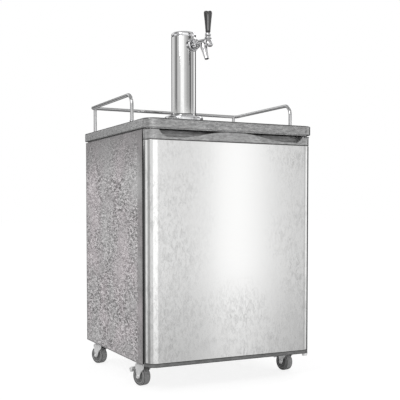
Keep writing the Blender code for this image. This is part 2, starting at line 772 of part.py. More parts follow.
def make_worktop():
    """The moulded top: round front corners, a hole under the tower and a well for the drip tray."""
    half = WORKTOP_WIDTH / 2
    outline = rounded_outline(
        (-half, FRONT_Y), (half, WORKTOP_DEPTH / 2), WORKTOP_FRONT_RADIUS, WORKTOP_REAR_RADIUS, 6
    )
    slab = plate_mesh([outline], WORKTOP_HEIGHT - WORKTOP_THICKNESS, WORKTOP_HEIGHT)
    worktop = bevel(add("worktop", slab, GREY_PLASTIC), WORKTOP_EDGE_ROUND)
    clear = TRAY_CLEARANCE
    well = tray_outline(-TRAY_RIM + clear)
    well_floor = WORKTOP_HEIGHT - TRAY_WELL - clear
    well_cutter = add("tray_well", plate_mesh([well], well_floor, WORKTOP_HEIGHT + OVERRUN))
    return cut(worktop, well_cutter, tower_drill("worktop_drill"))


# Drip tray

def tray_outline(grow):
    """The tray's outline seen from above, grown or, where negative, drawn in."""
    half_width, half_depth = TRAY_WIDTH / 2 + grow, TRAY_DEPTH / 2 + grow
    low, high = (-half_width, TRAY_Y - half_depth), (half_width, TRAY_Y + half_depth)
    return rounded_outline(low, high, max(TRAY_RADIUS + grow, TRAY_WALL), steps=4)


def make_drip_tray():
    """A dished tray whose rim lies on the worktop, with a ledge for the grate."""
    tray_bottom = WORKTOP_HEIGHT - TRAY_WELL
    rim = plate_mesh([tray_outline(0.0)], WORKTOP_HEIGHT + SEAT_GAP, TRAY_TOP)
    tray = add("drip_tray", rim, DARK_PLASTIC)
    dish = plate_mesh([tray_outline(-TRAY_RIM)], tray_bottom, TRAY_TOP - SEAT_GAP)
    join(tray, add("tray_dish", dish))
    seat = plate_mesh([tray_outline(-TRAY_RIM)], TRAY_TOP - GRATE_THICKNESS - SEAT_GAP, TRAY_TOP + OVERRUN)
    bowl_inset = -TRAY_RIM - TRAY_LEDGE
    bowl = plate_mesh([tray_outline(bowl_inset)], tray_bottom + TRAY_WALL, TRAY_TOP + OVERRUN)
    return cut(tray, add("grate_seat", seat), add("tray_bowl", bowl))


def make_drip_grate():
    """A slotted plate that drops into the tray's rim."""
    outer = tray_outline(-TRAY_RIM - 2 * SEAT_GAP)
    length = TRAY_DEPTH - 2 * (TRAY_RIM + GRATE_SLOT_MARGIN)
    first = -TRAY_WIDTH / 2 + TRAY_RIM + GRATE_SLOT_MARGIN
    pitch = -2 * first / (GRATE_SLOT_COUNT - 1)
    slots = []
    for index in range(GRATE_SLOT_COUNT):
        outline = slot_outline((0.0, 0.0), length, GRATE_SLOT_WIDTH, 2)
        x = first + index * pitch
        slots.append([(x - down, TRAY_Y + along) for along, down in outline])
    add("drip_grate", plate_mesh([outer] + slots, TRAY_TOP - GRATE_THICKNESS, TRAY_TOP), STAINLESS)


# Door

def door_outline(inset=0.0):
    """The door seen from above: round front corners and smaller round rear ones."""
    half = CABINET_HALF - inset
    low, high = (-half, DOOR_FRONT_Y + inset), (half, DOOR_BACK_Y - inset)
    return rounded_outline(low, high, DOOR_FRONT_RADIUS - inset, DOOR_REAR_RADIUS - inset, DOOR_CORNER_STEPS)


def make_door_skin(parent):
    """The folded stainless front: it wraps both long edges and returns a little way behind them."""
    outline = door_outline()
    per_corner = DOOR_CORNER_STEPS + 1
    front_right = outline[per_corner : 2 * per_corner]
    rear_right = outline[2 * per_corner : 3 * per_corner]
    right = front_right + rear_right
    right.append((CABINET_HALF - DOOR_SKIN_RETURN, DOOR_BACK_Y))
    left = [(-x, y) for x, y in reversed(right)]
    path = [(x, y, DOOR_SKIN_BOTTOM) for x, y in left + right]
    mesh = sheet_mesh(path, (0.0, 0.0, DOOR_SKIN_TOP - DOOR_SKIN_BOTTOM))
    skin = add("door_skin", mesh, STAINLESS, place=parent.matrix_basis.inverted(), parent=parent)
    thicken(skin, DOOR_SKIN_THICKNESS, 1)


def make_door_core(parent):
    inset = DOOR_SKIN_THICKNESS + SEAT_GAP
    half = CABINET_HALF - inset
    rear = DOOR_BACK_Y - DOOR_LINER_THICKNESS - SEAT_GAP
    low, high = (-half, DOOR_FRONT_Y + inset), (half, rear)
    outline = rounded_outline(low, high, DOOR_FRONT_RADIUS - inset, 0.0, DOOR_CORNER_STEPS)
    mesh = plate_mesh([outline], DOOR_SKIN_BOTTOM + SEAT_GAP, DOOR_SKIN_TOP - SEAT_GAP)
    add("door_core", mesh, FOAM, place=parent.matrix_basis.inverted(), parent=parent)


def make_door_liner(parent):
    """The inner panel between the skin's returns, with upright ribs."""
    half = CABINET_HALF - DOOR_SKIN_RETURN - SEAT_GAP
    low = (-half, DOOR_BACK_Y - DOOR_LINER_THICKNESS, DOOR_SKIN_BOTTOM + SEAT_GAP)
    high = (half, DOOR_BACK_Y, DOOR_SKIN_TOP - SEAT_GAP)
    away = parent.matrix_basis.inverted()
    liner = add("door_liner", box_mesh(low, high), WHITE_PLASTIC, place=away, parent=parent)
    first = -(DOOR_RIB_COUNT - 1) / 2 * DOOR_RIB_PITCH
    for index in range(DOOR_RIB_COUNT):
        x = first + index * DOOR_RIB_PITCH
        rib_low = (x - DOOR_RIB_WIDTH / 2, DOOR_BACK_Y - DOOR_LINER_THICKNESS / 2, low[2] + DOOR_RIB_MARGIN)
        rib_high = (x + DOOR_RIB_WIDTH / 2, DOOR_BACK_Y + DOOR_RIB_RISE, high[2] - DOOR_RIB_MARGIN)
        join(liner, add(f"door_rib_{index}", box_mesh(rib_low, rib_high), place=away, parent=parent))


def lip_height(x):
    """How high the cap's front lip stands at x: low in both scoops and up to the top in the middle."""
    low, high = DOOR_SKIN_TOP + LIP_LOW_RISE, DOOR_CAP_TOP
    travel = min(max((abs(x) - LIP_MIDDLE_WIDTH) / LIP_SLOPE_WIDTH, 0.0), 1.0)
    return low + (high - low) * (1 + math.cos(math.pi * travel)) / 2


def scoop_outline(side):
    """One scoop seen from the front, from the middle of the lip out to its curved end."""
    reach = SCOOP_HALF_WIDTH - SCOOP_END_LENGTH
    line = []
    for step in range(1, LIP_STEPS + 1):
        x = LIP_MIDDLE_WIDTH + LIP_SLOPE_WIDTH * step / LIP_STEPS
        line.append((x, lip_height(x)))
    low = lip_height(reach)
    for step in range(CORNER_STEPS + 1):
        share = step / CORNER_STEPS
        line.append((reach + SCOOP_END_LENGTH * share, low + (DOOR_CAP_TOP - low) * share**2))
    above = DOOR_CAP_TOP + OVERRUN
    points = [(LIP_MIDDLE_WIDTH, above)] + line + [(SCOOP_HALF_WIDTH, above)]
    return [(side * x, z) for x, z in points]


def make_door_top_cap(parent):
    """The moulded top edge of the door, with a finger scoop on either side of a raised middle."""
    away = parent.matrix_basis.inverted()
    solid = plate_mesh([door_outline()], DOOR_SKIN_TOP + SEAT_GAP, DOOR_CAP_TOP)
    cap = add("door_top_cap", solid, GREY_PLASTIC, place=away, parent=parent)
    pocket_front = DOOR_FRONT_Y + LIP_WALL
    pocket_rear = pocket_front + POCKET_DEPTH
    for side, label in ((-1, "left"), (1, "right")):
        # The front outline's plane faces -Y, so its levels count backwards from the front
        levels = (-pocket_rear - SCOOP_STEP, -DOOR_FRONT_Y + OVERRUN)
        scoop = plate_mesh([scoop_outline(side)], *levels, FRONT_OUTLINE)
        cut(cap, add(f"scoop_{label}", scoop, place=away, parent=parent))
        inner, outer = sorted((side * POCKET_INNER_X, side * POCKET_OUTER_X))
        outline = rounded_outline((inner, pocket_front), (outer, pocket_rear), POCKET_RADIUS)
        pocket = plate_mesh([outline], DOOR_SKIN_TOP + POCKET_FLOOR, DOOR_CAP_TOP + OVERRUN)
        cut(cap, add(f"pocket_{label}", pocket, place=away, parent=parent))
    notch_floor = upper_leaf_bottom() - HINGE_NOTCH_CLEARANCE
    notch_low = (CABINET_HALF - HINGE_NOTCH_WIDTH, DOOR_FRONT_Y - OVERRUN, notch_floor)
    notch_high = (CABINET_HALF + OVERRUN, DOOR_BACK_Y + OVERRUN, DOOR_CAP_TOP + OVERRUN)
    cut(cap, add("hinge_notch", box_mesh(notch_low, notch_high), place=away, parent=parent))
    pin_low = upper_leaf_bottom() - HINGE_PIN_REACH - SEAT_GAP
    cut(cap, pin_drill("upper_pin_drill", pin_low, DOOR_CAP_TOP + OVERRUN, parent))


def make_door_bottom_cap(parent):
    away = parent.matrix_basis.inverted()
    solid = plate_mesh([door_outline()], DOOR_CAP_BOTTOM, DOOR_SKIN_BOTTOM - SEAT_GAP)
    cap = add("door_bottom_cap", solid, DARK_PLASTIC, place=away, parent=parent)
    pin_top = DOOR_CAP_BOTTOM - SEAT_GAP + HINGE_PIN_REACH + SEAT_GAP
    cut(cap, pin_drill("lower_pin_drill", DOOR_CAP_BOTTOM - OVERRUN, pin_top, parent))


def pin_drill(name, low, high, parent):
    """A hole on the hinge axis for a hinge pin."""
    return add(name, rod_mesh(HINGE_PIN_RADIUS + HINGE_PIN_CLEARANCE, low, high), parent=parent)


def make_door_gasket(parent):
    """The magnetic seal: a frame between the door and the liner's flange."""
    half = CABINET_HALF - GASKET_INSET
    low_z, high_z = DOOR_SKIN_BOTTOM + GASKET_MARGIN, DOOR_SKIN_TOP - GASKET_MARGIN
    outer = rounded_outline((-half, low_z), (half, high_z), GASKET_WIDTH, steps=3)
    inner_half = half - GASKET_WIDTH
    inner_low, inner_high = (-inner_half, low_z + GASKET_WIDTH), (inner_half, high_z - GASKET_WIDTH)
    inner = rounded_outline(inner_low, inner_high, GASKET_ROUND, steps=3)
    front, rear = DOOR_BACK_Y + SEAT_GAP, CABINET_FRONT_Y - SEAT_GAP
    frame = plate_mesh([outer, inner], -rear, -front, FRONT_OUTLINE)
    gasket = add("door_gasket", frame, RUBBER, place=parent.matrix_basis.inverted(), parent=parent)
    bevel(gasket, GASKET_ROUND, 1)


# Door hinges

def upper_leaf_bottom():
    return DOOR_CAP_TOP - HINGE_TOP_CLEARANCE - HINGE_LEAF_THICKNESS


def hinge_leaf(name, low, high, flange_levels, pin_levels):
    """A bent bracket: a leaf over or under the door, a flange on the cabinet's front and a pin."""
    right = CABINET_HALF - HINGE_LEAF_INSET
    nose = HINGE_Y - HINGE_NOSE
    rear = CABINET_FRONT_Y - SEAT_GAP
    outline = rounded_outline((HINGE_X - HINGE_NOSE, nose), (right, rear), HINGE_NOSE_RADIUS, 0.0)
    leaf = add(name, plate_mesh([outline], low, high), ZINC)
    flange_front = rear - HINGE_FLANGE_THICKNESS
    flange_left = right - HINGE_FLANGE_WIDTH
    flange = box_mesh((flange_left, flange_front, flange_levels[0]), (right, rear, flange_levels[1]))
    pin = rod_mesh(HINGE_PIN_RADIUS, *pin_levels)
    axis = Matrix.Translation((HINGE_X, HINGE_Y, 0.0))
    return join(leaf, add(name + "_flange", flange), add(name + "_pin", pin, place=axis))


def make_hinges():
    top_high = upper_leaf_bottom() + HINGE_LEAF_THICKNESS
    top_low = upper_leaf_bottom()
    flange, pin = (top_high - HINGE_FLANGE_HEIGHT, top_high), (top_low - HINGE_PIN_REACH, top_high)
    hinge_leaf("upper_hinge", top_low, top_high, flange, pin)
    leaf_high = DOOR_CAP_BOTTOM - SEAT_GAP
    leaf_low = leaf_high - HINGE_LEAF_THICKNESS
    flange, pin = (leaf_low, leaf_low + HINGE_FLANGE_HEIGHT), (leaf_low, leaf_high + HINGE_PIN_REACH)
    lower = hinge_leaf("lower_hinge", leaf_low, leaf_high, flange, pin)
    boss = rod_mesh(HINGE_BOSS_RADIUS, leaf_low - HINGE_BOSS_DROP, leaf_high - HINGE_LEAF_THICKNESS / 2)
    join(lower, add("lower_hinge_boss", boss, place=Matrix.Translation((HINGE_X, HINGE_Y, 0.0))))


# Inside the cabinet

def make_keg_plate():
    front = CABINET_FRONT_Y + KEG_PLATE_SETBACK
    half, rear = LINER_HALF - KEG_PLATE_SIDE_MARGIN, HUMP_Y - KEG_PLATE_REAR_MARGIN
    outline = rounded_outline((-half, front), (half, rear), KEG_PLATE_RADIUS)
    low = LINER_FLOOR + SEAT_GAP
    add("keg_floor_plate", plate_mesh([outline], low, low + KEG_PLATE_THICKNESS), ZINC)


def make_evaporator():
    """The cold plate on the rear wall, with its tube run back and forth across the face."""
    top = LINER_CEILING - EVAPORATOR_BELOW_CEILING
    left = EVAPORATOR_SHIFT - EVAPORATOR_WIDTH / 2
    right = left + EVAPORATOR_WIDTH
    bottom = top - EVAPORATOR_HEIGHT
    rear = LINER_REAR_Y - SEAT_GAP
    face = rear - EVAPORATOR_THICKNESS
    plate = add("evaporator_plate", box_mesh((left, face, bottom), (right, rear, top)), ALUMINIUM)
    pitch = (EVAPORATOR_HEIGHT - 2 * EVAPORATOR_MARGIN) / (EVAPORATOR_RUNS - 1)
    tube_y = face - EVAPORATOR_TUBE_PROUD
    corners = []
    for run in range(EVAPORATOR_RUNS):
        height = top - EVAPORATOR_MARGIN - run * pitch
        ends = [left + EVAPORATOR_MARGIN, right - EVAPORATOR_MARGIN]
        corners += [(x, tube_y, height) for x in (ends if run % 2 == 0 else reversed(ends))]
    radii = [pitch * EVAPORATOR_BEND_SHARE] * (len(corners) - 2)
    tube = tube_mesh(filleted_path(corners, radii, 3), EVAPORATOR_TUBE_RADIUS, 0)
    join(plate, add("evaporator_tube", tube))


def make_control_box():
    """The thermostat's housing on the rear wall."""
    half = CONTROL_WIDTH / 2
    top = LINER_CEILING - CONTROL_BELOW_CEILING
    low = (CONTROL_X - half, control_face(), top - CONTROL_HEIGHT)
    high = (CONTROL_X + half, LINER_REAR_Y - SEAT_GAP, top)
    housing = bevel(add("control_housing", box_mesh(low, high), WHITE_PLASTIC), CONTROL_ROUND)
    bore = KNOB_SHAFT_RADIUS + KNOB_SHAFT_CLEARANCE
    drill = rod_mesh(bore, -KNOB_SHAFT_DEPTH - SEAT_GAP, OVERRUN)
    cut(housing, add("knob_drill", drill, place=Matrix.Translation(knob_place()) @ TOWARDS_FRONT))


def control_face():
    return LINER_REAR_Y - SEAT_GAP - CONTROL_DEPTH


def knob_place():
    top = LINER_CEILING - CONTROL_BELOW_CEILING
    return Vector((CONTROL_X, control_face(), top - CONTROL_HEIGHT / 2))


def make_knob():
    """The thermostat knob: a dished disc with a pointer bar and a short shaft."""
    axis = empty("thermostat_axis", knob_place())
    face = KNOB_GAP + KNOB_DEPTH
    profile = [
        (0.0, face),
        (KNOB_RADIUS - KNOB_ROUND, face),
        (KNOB_RADIUS, face - KNOB_ROUND),
        (KNOB_RADIUS, KNOB_GAP),
        (KNOB_SHAFT_RADIUS, KNOB_GAP),
        (KNOB_SHAFT_RADIUS, -KNOB_SHAFT_DEPTH),
        (0.0, -KNOB_SHAFT_DEPTH),
    ]
    facing = {"place": TOWARDS_FRONT, "parent": axis}
    knob = turned("thermostat_knob", profile, GREY_PLASTIC, steps=SMALL_STEPS, **facing)
    half = KNOB_POINTER_WIDTH / 2
    low = (-half, -half, face - KNOB_ROUND)
    high = (half, KNOB_RADIUS - KNOB_ROUND, face + KNOB_POINTER_RISE)
    join(knob, add("knob_pointer", box_mesh(low, high), place=TOWARDS_FRONT, parent=axis))


# Compressor compartment

def make_compressor():
    """A sealed compressor: a domed can with a welded seam, on a plate with four rubber feet."""
    middle_y = (NICHE_Y + REAR_Y - PANEL_THICKNESS) / 2
    place = Matrix.Translation((COMPRESSOR_X, middle_y, BASE_TOP + SEAT_GAP))
    plate_low = COMPRESSOR_FOOT_HEIGHT
    can_low = plate_low + COMPRESSOR_PLATE_THICKNESS / 2
    half_x, half_y = COMPRESSOR_WIDTH / 2, COMPRESSOR_DEPTH / 2
    can = box_mesh((-half_x, -half_y, can_low), (half_x, half_y, can_low + COMPRESSOR_HEIGHT))
    compressor = bevel(add("compressor", can, BLACK_PAINT, place), COMPRESSOR_ROUND, 2)
    grown_x, grown_y = half_x + COMPRESSOR_SEAM, half_y + COMPRESSOR_SEAM
    seam_low = plate_low + COMPRESSOR_SEAM_RISE
    seam_outline = rounded_outline((-grown_x, -grown_y), (grown_x, grown_y), COMPRESSOR_ROUND, steps=3)
    seam = plate_mesh([seam_outline], seam_low, seam_low + COMPRESSOR_SEAM_HEIGHT)
    plate_x, plate_y = COMPRESSOR_PLATE_WIDTH / 2, COMPRESSOR_PLATE_DEPTH / 2
    plate_high = plate_low + COMPRESSOR_PLATE_THICKNESS
    plate = box_mesh((-plate_x, -plate_y, plate_low), (plate_x, plate_y, plate_high))
    join(compressor, add("compressor_seam", seam, place=place), add("compressor_plate", plate, place=place))
    foot_x, foot_y = plate_x - COMPRESSOR_FOOT_INSET, plate_y - COMPRESSOR_FOOT_INSET
    for side in (-1, 1):
        for end in (-1, 1):
            foot = rod_mesh(COMPRESSOR_FOOT_RADIUS, 0.0, can_low, 8)
            spot = place @ Matrix.Translation((side * foot_x, end * foot_y, 0.0))
            join(compressor, add(f"compressor_foot_{side}_{end}", foot, place=spot))
    stub_z = seam_low + COMPRESSOR_SEAM_HEIGHT + COMPRESSOR_TUBE_LENGTH / 2
    stub = rod_mesh(COMPRESSOR_TUBE_RADIUS, half_x - OVERRUN, half_x + COMPRESSOR_TUBE_LENGTH, 8)
    spot = place @ Matrix.Translation((0.0, 0.0, stub_z)) @ TOWARDS_SIDE
    join(compressor, add("compressor_tube", stub, place=spot))


def make_compressor_cover():
    """The slotted cover over the compressor, with the hole where a supply lead would come out."""
    low_z, high_z = CASTER_HEIGHT + SEAT_GAP, NICHE_TOP
    slots = []
    for row in range(COVER_SLOT_ROWS):
        height = low_z + COVER_SLOT_FIRST + row * COVER_SLOT_PITCH
        for column in range(COVER_SLOT_COLUMNS):
            x = (column - (COVER_SLOT_COLUMNS - 1) / 2) * COVER_SLOT_SPACING
            slots.append(slot_outline((x, height), COVER_SLOT_LENGTH, COVER_SLOT_WIDTH, 2))
    low, high = (-INNER_HALF, REAR_Y - PANEL_THICKNESS, low_z), (INNER_HALF, REAR_Y, high_z)
    cover = add("compressor_cover", box_mesh(low, high), BLACK_PAINT)
    slot_cutter = plate_mesh(slots, -REAR_Y - OVERRUN, -REAR_Y + OVERRUN, FRONT_OUTLINE)
    cut(cover, add("cover_slots", slot_cutter))
    gland = Matrix.Translation((INNER_HALF - GLAND_FROM_SIDE, REAR_Y, low_z + GLAND_RISE)) @ TOWARDS_FRONT
    ring = rod_mesh(GLAND_RING_RADIUS, -GLAND_RING_RISE, PANEL_THICKNESS / 2, 12)
    join(cover, add("gland_ring", ring, place=gland))
    drill = rod_mesh(GLAND_HOLE_RADIUS, -OVERRUN, OVERRUN, 12)
    cut(cover, add("gland_drill", drill, place=gland))


# Guard rail

def make_rail():
    """One bent tube round the worktop's sides and rear, with two more posts under the rear run."""
    seat = WORKTOP_HEIGHT + SEAT_GAP
    corners = [
        (-RAIL_X, RAIL_FRONT_Y, seat),
        (-RAIL_X, RAIL_FRONT_Y, RAIL_Z),
        (-RAIL_X, RAIL_REAR_Y, RAIL_Z),
        (RAIL_X, RAIL_REAR_Y, RAIL_Z),
        (RAIL_X, RAIL_FRONT_Y, RAIL_Z),
        (RAIL_X, RAIL_FRONT_Y, seat),
    ]
    radii = [RAIL_FRONT_BEND, RAIL_REAR_BEND, RAIL_REAR_BEND, RAIL_FRONT_BEND]
    path = filleted_path(corners, radii, RAIL_BEND_STEPS)
    rail = add("guard_rail", tube_mesh(path, RAIL_RADIUS, RAIL_PROFILE_STEPS), CHROME)
    for side, label in ((-1, "left"), (1, "right")):
        ends = [(rear_post_x(side), RAIL_REAR_Y, z) for z in (seat, RAIL_Z)]
        post = tube_mesh(ends, REAR_POST_RADIUS, RAIL_PROFILE_STEPS)
        join(rail, add(f"rear_post_{label}", post))


def rear_post_x(side):
    return side * (RAIL_X - RAIL_REAR_POST_INSET)


def make_rail_feet():
    """A domed ring round the bottom of each post."""
    base = WORKTOP_HEIGHT + SEAT_GAP
    for side, label in ((-1, "left"), (1, "right")):
        front = ("front", side * RAIL_X, RAIL_FRONT_Y, RAIL_RADIUS)
        rear = ("rear", rear_post_x(side), RAIL_REAR_Y, REAR_POST_RADIUS)
        for end, x, y, radius in (front, rear):
            bore = radius + SEAT_GAP
            profile = [
                (bore, base + FOOT_HEIGHT),
                (FOOT_RADIUS, base + FOOT_ROUND),
                (FOOT_RADIUS, base),
                (bore, base),
            ]
            spot = Matrix.Translation((x, y, 0.0))
            turned(f"rail_foot_{end}_{label}", profile, CHROME, closed=True, steps=SMALL_STEPS, place=spot)


# Beer tower

def make_tower():
    """The column, the stepped collar round its foot and the cap that plugs its top."""
    axis = Matrix.Translation((0.0, TOWER_Y, 0.0))
    foot = WORKTOP_HEIGHT + SEAT_GAP
    rim = TOWER_TOP - TOWER_CAP_HEIGHT
    wall = TOWER_RADIUS - TOWER_WALL
    column = turned(
        "tower_column",
        [(TOWER_RADIUS, rim), (TOWER_RADIUS, foot), (wall, foot), (wall, rim)],
        STAINLESS,
        closed=True,
        steps=TOWER_STEPS,
        place=axis,
    )
    drill = rod_mesh(SHANK_RADIUS + SHANK_CLEARANCE, 0.0, TOWER_RADIUS + OVERRUN)
    cut(column, add("column_drill", drill, place=TOWARDS_FRONT, parent=TAP))
    bore = TOWER_RADIUS + SEAT_GAP
    shoulder = foot + TOWER_BASE_HEIGHT - TOWER_BASE_LIP
    collar = [
        (bore, foot + TOWER_BASE_HEIGHT),
        (bore + TOWER_BASE_LIP, foot + TOWER_BASE_HEIGHT),
        (bore + 2 * TOWER_BASE_LIP, shoulder),
        (TOWER_BASE_RADIUS - TOWER_BASE_SHOULDER, shoulder - TOWER_BASE_LIP),
        (TOWER_BASE_RADIUS - TOWER_BASE_LIP, shoulder - TOWER_BASE_SHOULDER + TOWER_BASE_LIP),
        (TOWER_BASE_RADIUS, shoulder - TOWER_BASE_SHOULDER - TOWER_BASE_LIP),
        (TOWER_BASE_RADIUS, foot),
        (bore, foot),
    ]
    turned("tower_base", collar, CHROME, closed=True, steps=TOWER_STEPS, place=axis)
    cap_low = rim + SEAT_GAP
    skirt = wall - SEAT_GAP
    round_centre = (TOWER_RADIUS - TOWER_CAP_ROUND, TOWER_TOP - TOWER_CAP_ROUND)
    edge = arc(round_centre, TOWER_CAP_ROUND, 90, 0, CORNER_STEPS)
    cap = [(0.0, TOWER_TOP)] + edge
    cap += [(TOWER_RADIUS, cap_low), (skirt, cap_low), (skirt, cap_low - TOWER_CAP_SKIRT)]
    cap += [(0.0, cap_low - TOWER_CAP_SKIRT)]
    turned("tower_cap", cap, CHROME, steps=TOWER_STEPS, place=axis)


# Tap

def make_shank():
    """The threaded tube through the column, and the nut that holds it from inside."""
    profile = [
        (SHANK_RADIUS, BODY_START - SEAT_GAP),
        (SHANK_RADIUS, SHANK_START),
        (SHANK_BORE, SHANK_START),
        (SHANK_BORE, BODY_START - SEAT_GAP),
    ]
    turned("shank", profile, CHROME, closed=True, steps=SMALL_STEPS, place=TOWARDS_FRONT, parent=TAP)
    bore = SHANK_RADIUS + SEAT_GAP
    nut_end = SHANK_NUT_START + SHANK_NUT_LENGTH
    hexagon = rod_mesh(SHANK_NUT_RADIUS, SHANK_NUT_START, nut_end, 6)
    nut = add("shank_nut", hexagon, CHROME, TOWARDS_FRONT, TAP)
    drill = rod_mesh(bore, SHANK_NUT_START - OVERRUN, nut_end + OVERRUN)
    cut(nut, add("nut_drill", drill, place=TOWARDS_FRONT, parent=TAP))


def make_escutcheon():
    """The round flange on the column: its back is hollowed to sit on the curve."""
    bore = SHANK_RADIUS + SEAT_GAP
    back = TOWER_RADIUS - ESCUTCHEON_ROUND
    depth = TOWER_RADIUS - math.sqrt(TOWER_RADIUS**2 - ESCUTCHEON_RADIUS**2)
    profile = [
        (bore, ESCUTCHEON_FACE - ESCUTCHEON_DISH),
        (COUPLING_RADIUS, ESCUTCHEON_FACE - ESCUTCHEON_DISH),
        (COUPLING_RADIUS + ESCUTCHEON_DISH, ESCUTCHEON_FACE),
        (ESCUTCHEON_RADIUS - ESCUTCHEON_ROUND, ESCUTCHEON_FACE),
        (ESCUTCHEON_RADIUS - ESCUTCHEON_ROUND / 3, ESCUTCHEON_FACE - ESCUTCHEON_ROUND / 3),
        (ESCUTCHEON_RADIUS, ESCUTCHEON_FACE - ESCUTCHEON_ROUND),
        (ESCUTCHEON_RADIUS, back - depth),
        (bore, back - depth),
    ]
    flange = turned("escutcheon", profile, CHROME, closed=True, place=TOWARDS_FRONT, parent=TAP)
    low, high = TOWER_TOP - SHANK_HEIGHT, -ESCUTCHEON_RADIUS
    column = rod_mesh(TOWER_RADIUS + SEAT_GAP, high - OVERRUN, low + OVERRUN, TOWER_STEPS)
    cut(flange, add("escutcheon_saddle", column, parent=TAP))


def make_coupling_nut():
    """The slotted ring that draws the tap onto the shank."""
    end = COUPLING_START + COUPLING_LENGTH
    seat = BODY_START - SEAT_GAP
    bore = SHANK_RADIUS + SEAT_GAP
    hollow = BODY_FLANGE_RADIUS + SEAT_GAP
    mouth = BARREL_RADIUS + SEAT_GAP
    profile = [
        (mouth, end),
        (COUPLING_RADIUS - COUPLING_LIP, end),
        (COUPLING_RADIUS, end - COUPLING_LIP),
        (COUPLING_RADIUS, COUPLING_START),
        (bore, COUPLING_START),
        (bore, seat),
        (hollow, seat),
        (hollow, end - COUPLING_LIP),
        (mouth, end - COUPLING_LIP),
    ]
    nut = turned("coupling_nut", profile, CHROME, closed=True, place=TOWARDS_FRONT, parent=TAP)
    for index in range(COUPLING_NOTCHES):
        spin = Matrix.Rotation(2 * math.pi * index / COUPLING_NOTCHES, 4, "Z")
        spot = TOWARDS_FRONT @ spin @ Matrix.Translation((COUPLING_RADIUS, 0.0, 0.0))
        notch = rod_mesh(COUPLING_NOTCH_RADIUS, COUPLING_START - OVERRUN, end + OVERRUN, 6)
        cut(nut, add(f"coupling_notch_{index}", notch, place=spot, parent=TAP))


def make_tap_body():
    """The cast body: a barrel from the nut, an egg-shaped head under the lever and a slanted spout."""
    profile = [
        (0.0, TAP_REACH),
        (BARREL_RADIUS, TAP_REACH),
        (BARREL_RADIUS, BODY_START + BODY_FLANGE_LENGTH),
        (BODY_FLANGE_RADIUS, BODY_START + BODY_FLANGE_LENGTH),
        (BODY_FLANGE_RADIUS, BODY_START),
        (0.0, BODY_START),
    ]
    body = turned("tap_body", profile, CHROME, steps=ROUND_STEPS, place=TOWARDS_FRONT, parent=TAP)
    height = HEAD_TOP - HEAD_BOTTOM
    head = [(0.0, HEAD_TOP)]
    steps = zip(HEAD_PROFILE_RADII, HEAD_PROFILE_SHARES)
    head += [(radius, HEAD_TOP - share * height) for radius, share in steps]
    head += [(0.0, HEAD_BOTTOM)]
    over_head = Matrix.Translation((0.0, -TAP_REACH, 0.0))
    join(body, turned("tap_head", head, steps=ROUND_STEPS, place=over_head, parent=TAP))
    lean = math.atan2(SPOUT_TIP - SPOUT_START, SPOUT_DROP)
    length = math.hypot(SPOUT_TIP - SPOUT_START, SPOUT_DROP)
    down_spout = Matrix.Translation((0.0, -SPOUT_START, 0.0)) @ Matrix.Rotation(math.pi - lean, 4, "X")
    spout = rod_mesh(SPOUT_TOP_RADIUS, 0.0, length, ROUND_STEPS, SPOUT_TIP_RADIUS)
    join(body, add("tap_spout", spout, place=down_spout, parent=TAP))
    spout_bore = rod_mesh(SPOUT_BORE, SPOUT_BORE, length + OVERRUN)
    shaft_bore = rod_mesh(BARREL_BORE, BODY_START - OVERRUN, PLUNGER_END + PLUNGER_SEAL_GAP)
    head_bore = rod_mesh(HEAD_BORE, HEAD_BORE_FLOOR, HEAD_TOP + OVERRUN, ROUND_STEPS)
    cut(body, add("spout_bore", spout_bore, place=down_spout, parent=TAP))
    cut(body, add("shaft_bore", shaft_bore, place=TOWARDS_FRONT, parent=TAP))
    cut(body, add("head_bore", head_bore, place=over_head, parent=TAP))


def make_bonnet():
    """The ring that holds the lever's ball down, domed about the lever's pivot."""
    base = HEAD_TOP + SEAT_GAP - LEVER_PIVOT_RISE
    dome = arc((0.0, 0.0), BONNET_RADIUS, 90 - BONNET_OPENING, 90 - BONNET_FOOT, 3)
    profile = dome + [(BONNET_RADIUS, base), (BONNET_BORE, base), (BONNET_BORE, BONNET_BORE_TOP)]
    place = Matrix.Translation(LEVER_PIVOT)
    turned("tap_bonnet", profile, CHROME, closed=True, steps=ROUND_STEPS, place=place, parent=TAP)


def make_plunger():
    """The valve's shaft: a seal at the rear, and a slot near the front for the lever's tail."""
    seal_end = BODY_START - PLUNGER_SEAL_GAP
    seal_start = seal_end - PLUNGER_SEAL_LENGTH
    profile = [
        (0.0, PLUNGER_END),
        (PLUNGER_RADIUS, PLUNGER_END),
        (PLUNGER_RADIUS, seal_end),
        (PLUNGER_SEAL_RADIUS, seal_end),
        (PLUNGER_SEAL_RADIUS, seal_start),
        (PLUNGER_RADIUS, seal_start),
        (PLUNGER_RADIUS, PLUNGER_START),
        (0.0, PLUNGER_START),
    ]
    plunger = turned("tap_plunger", profile, STAINLESS, steps=SMALL_STEPS, place=TOWARDS_FRONT, parent=TAP)
    half_length, half_width = PLUNGER_SLOT_HALF_LENGTH, PLUNGER_SLOT_HALF_WIDTH
    low = (-half_width, -TAP_REACH - half_length, -PLUNGER_RADIUS - OVERRUN)
    high = (half_width, -TAP_REACH + half_length, PLUNGER_RADIUS + OVERRUN)
    cut(plunger, add("plunger_slot", box_mesh(low, high), parent=TAP))


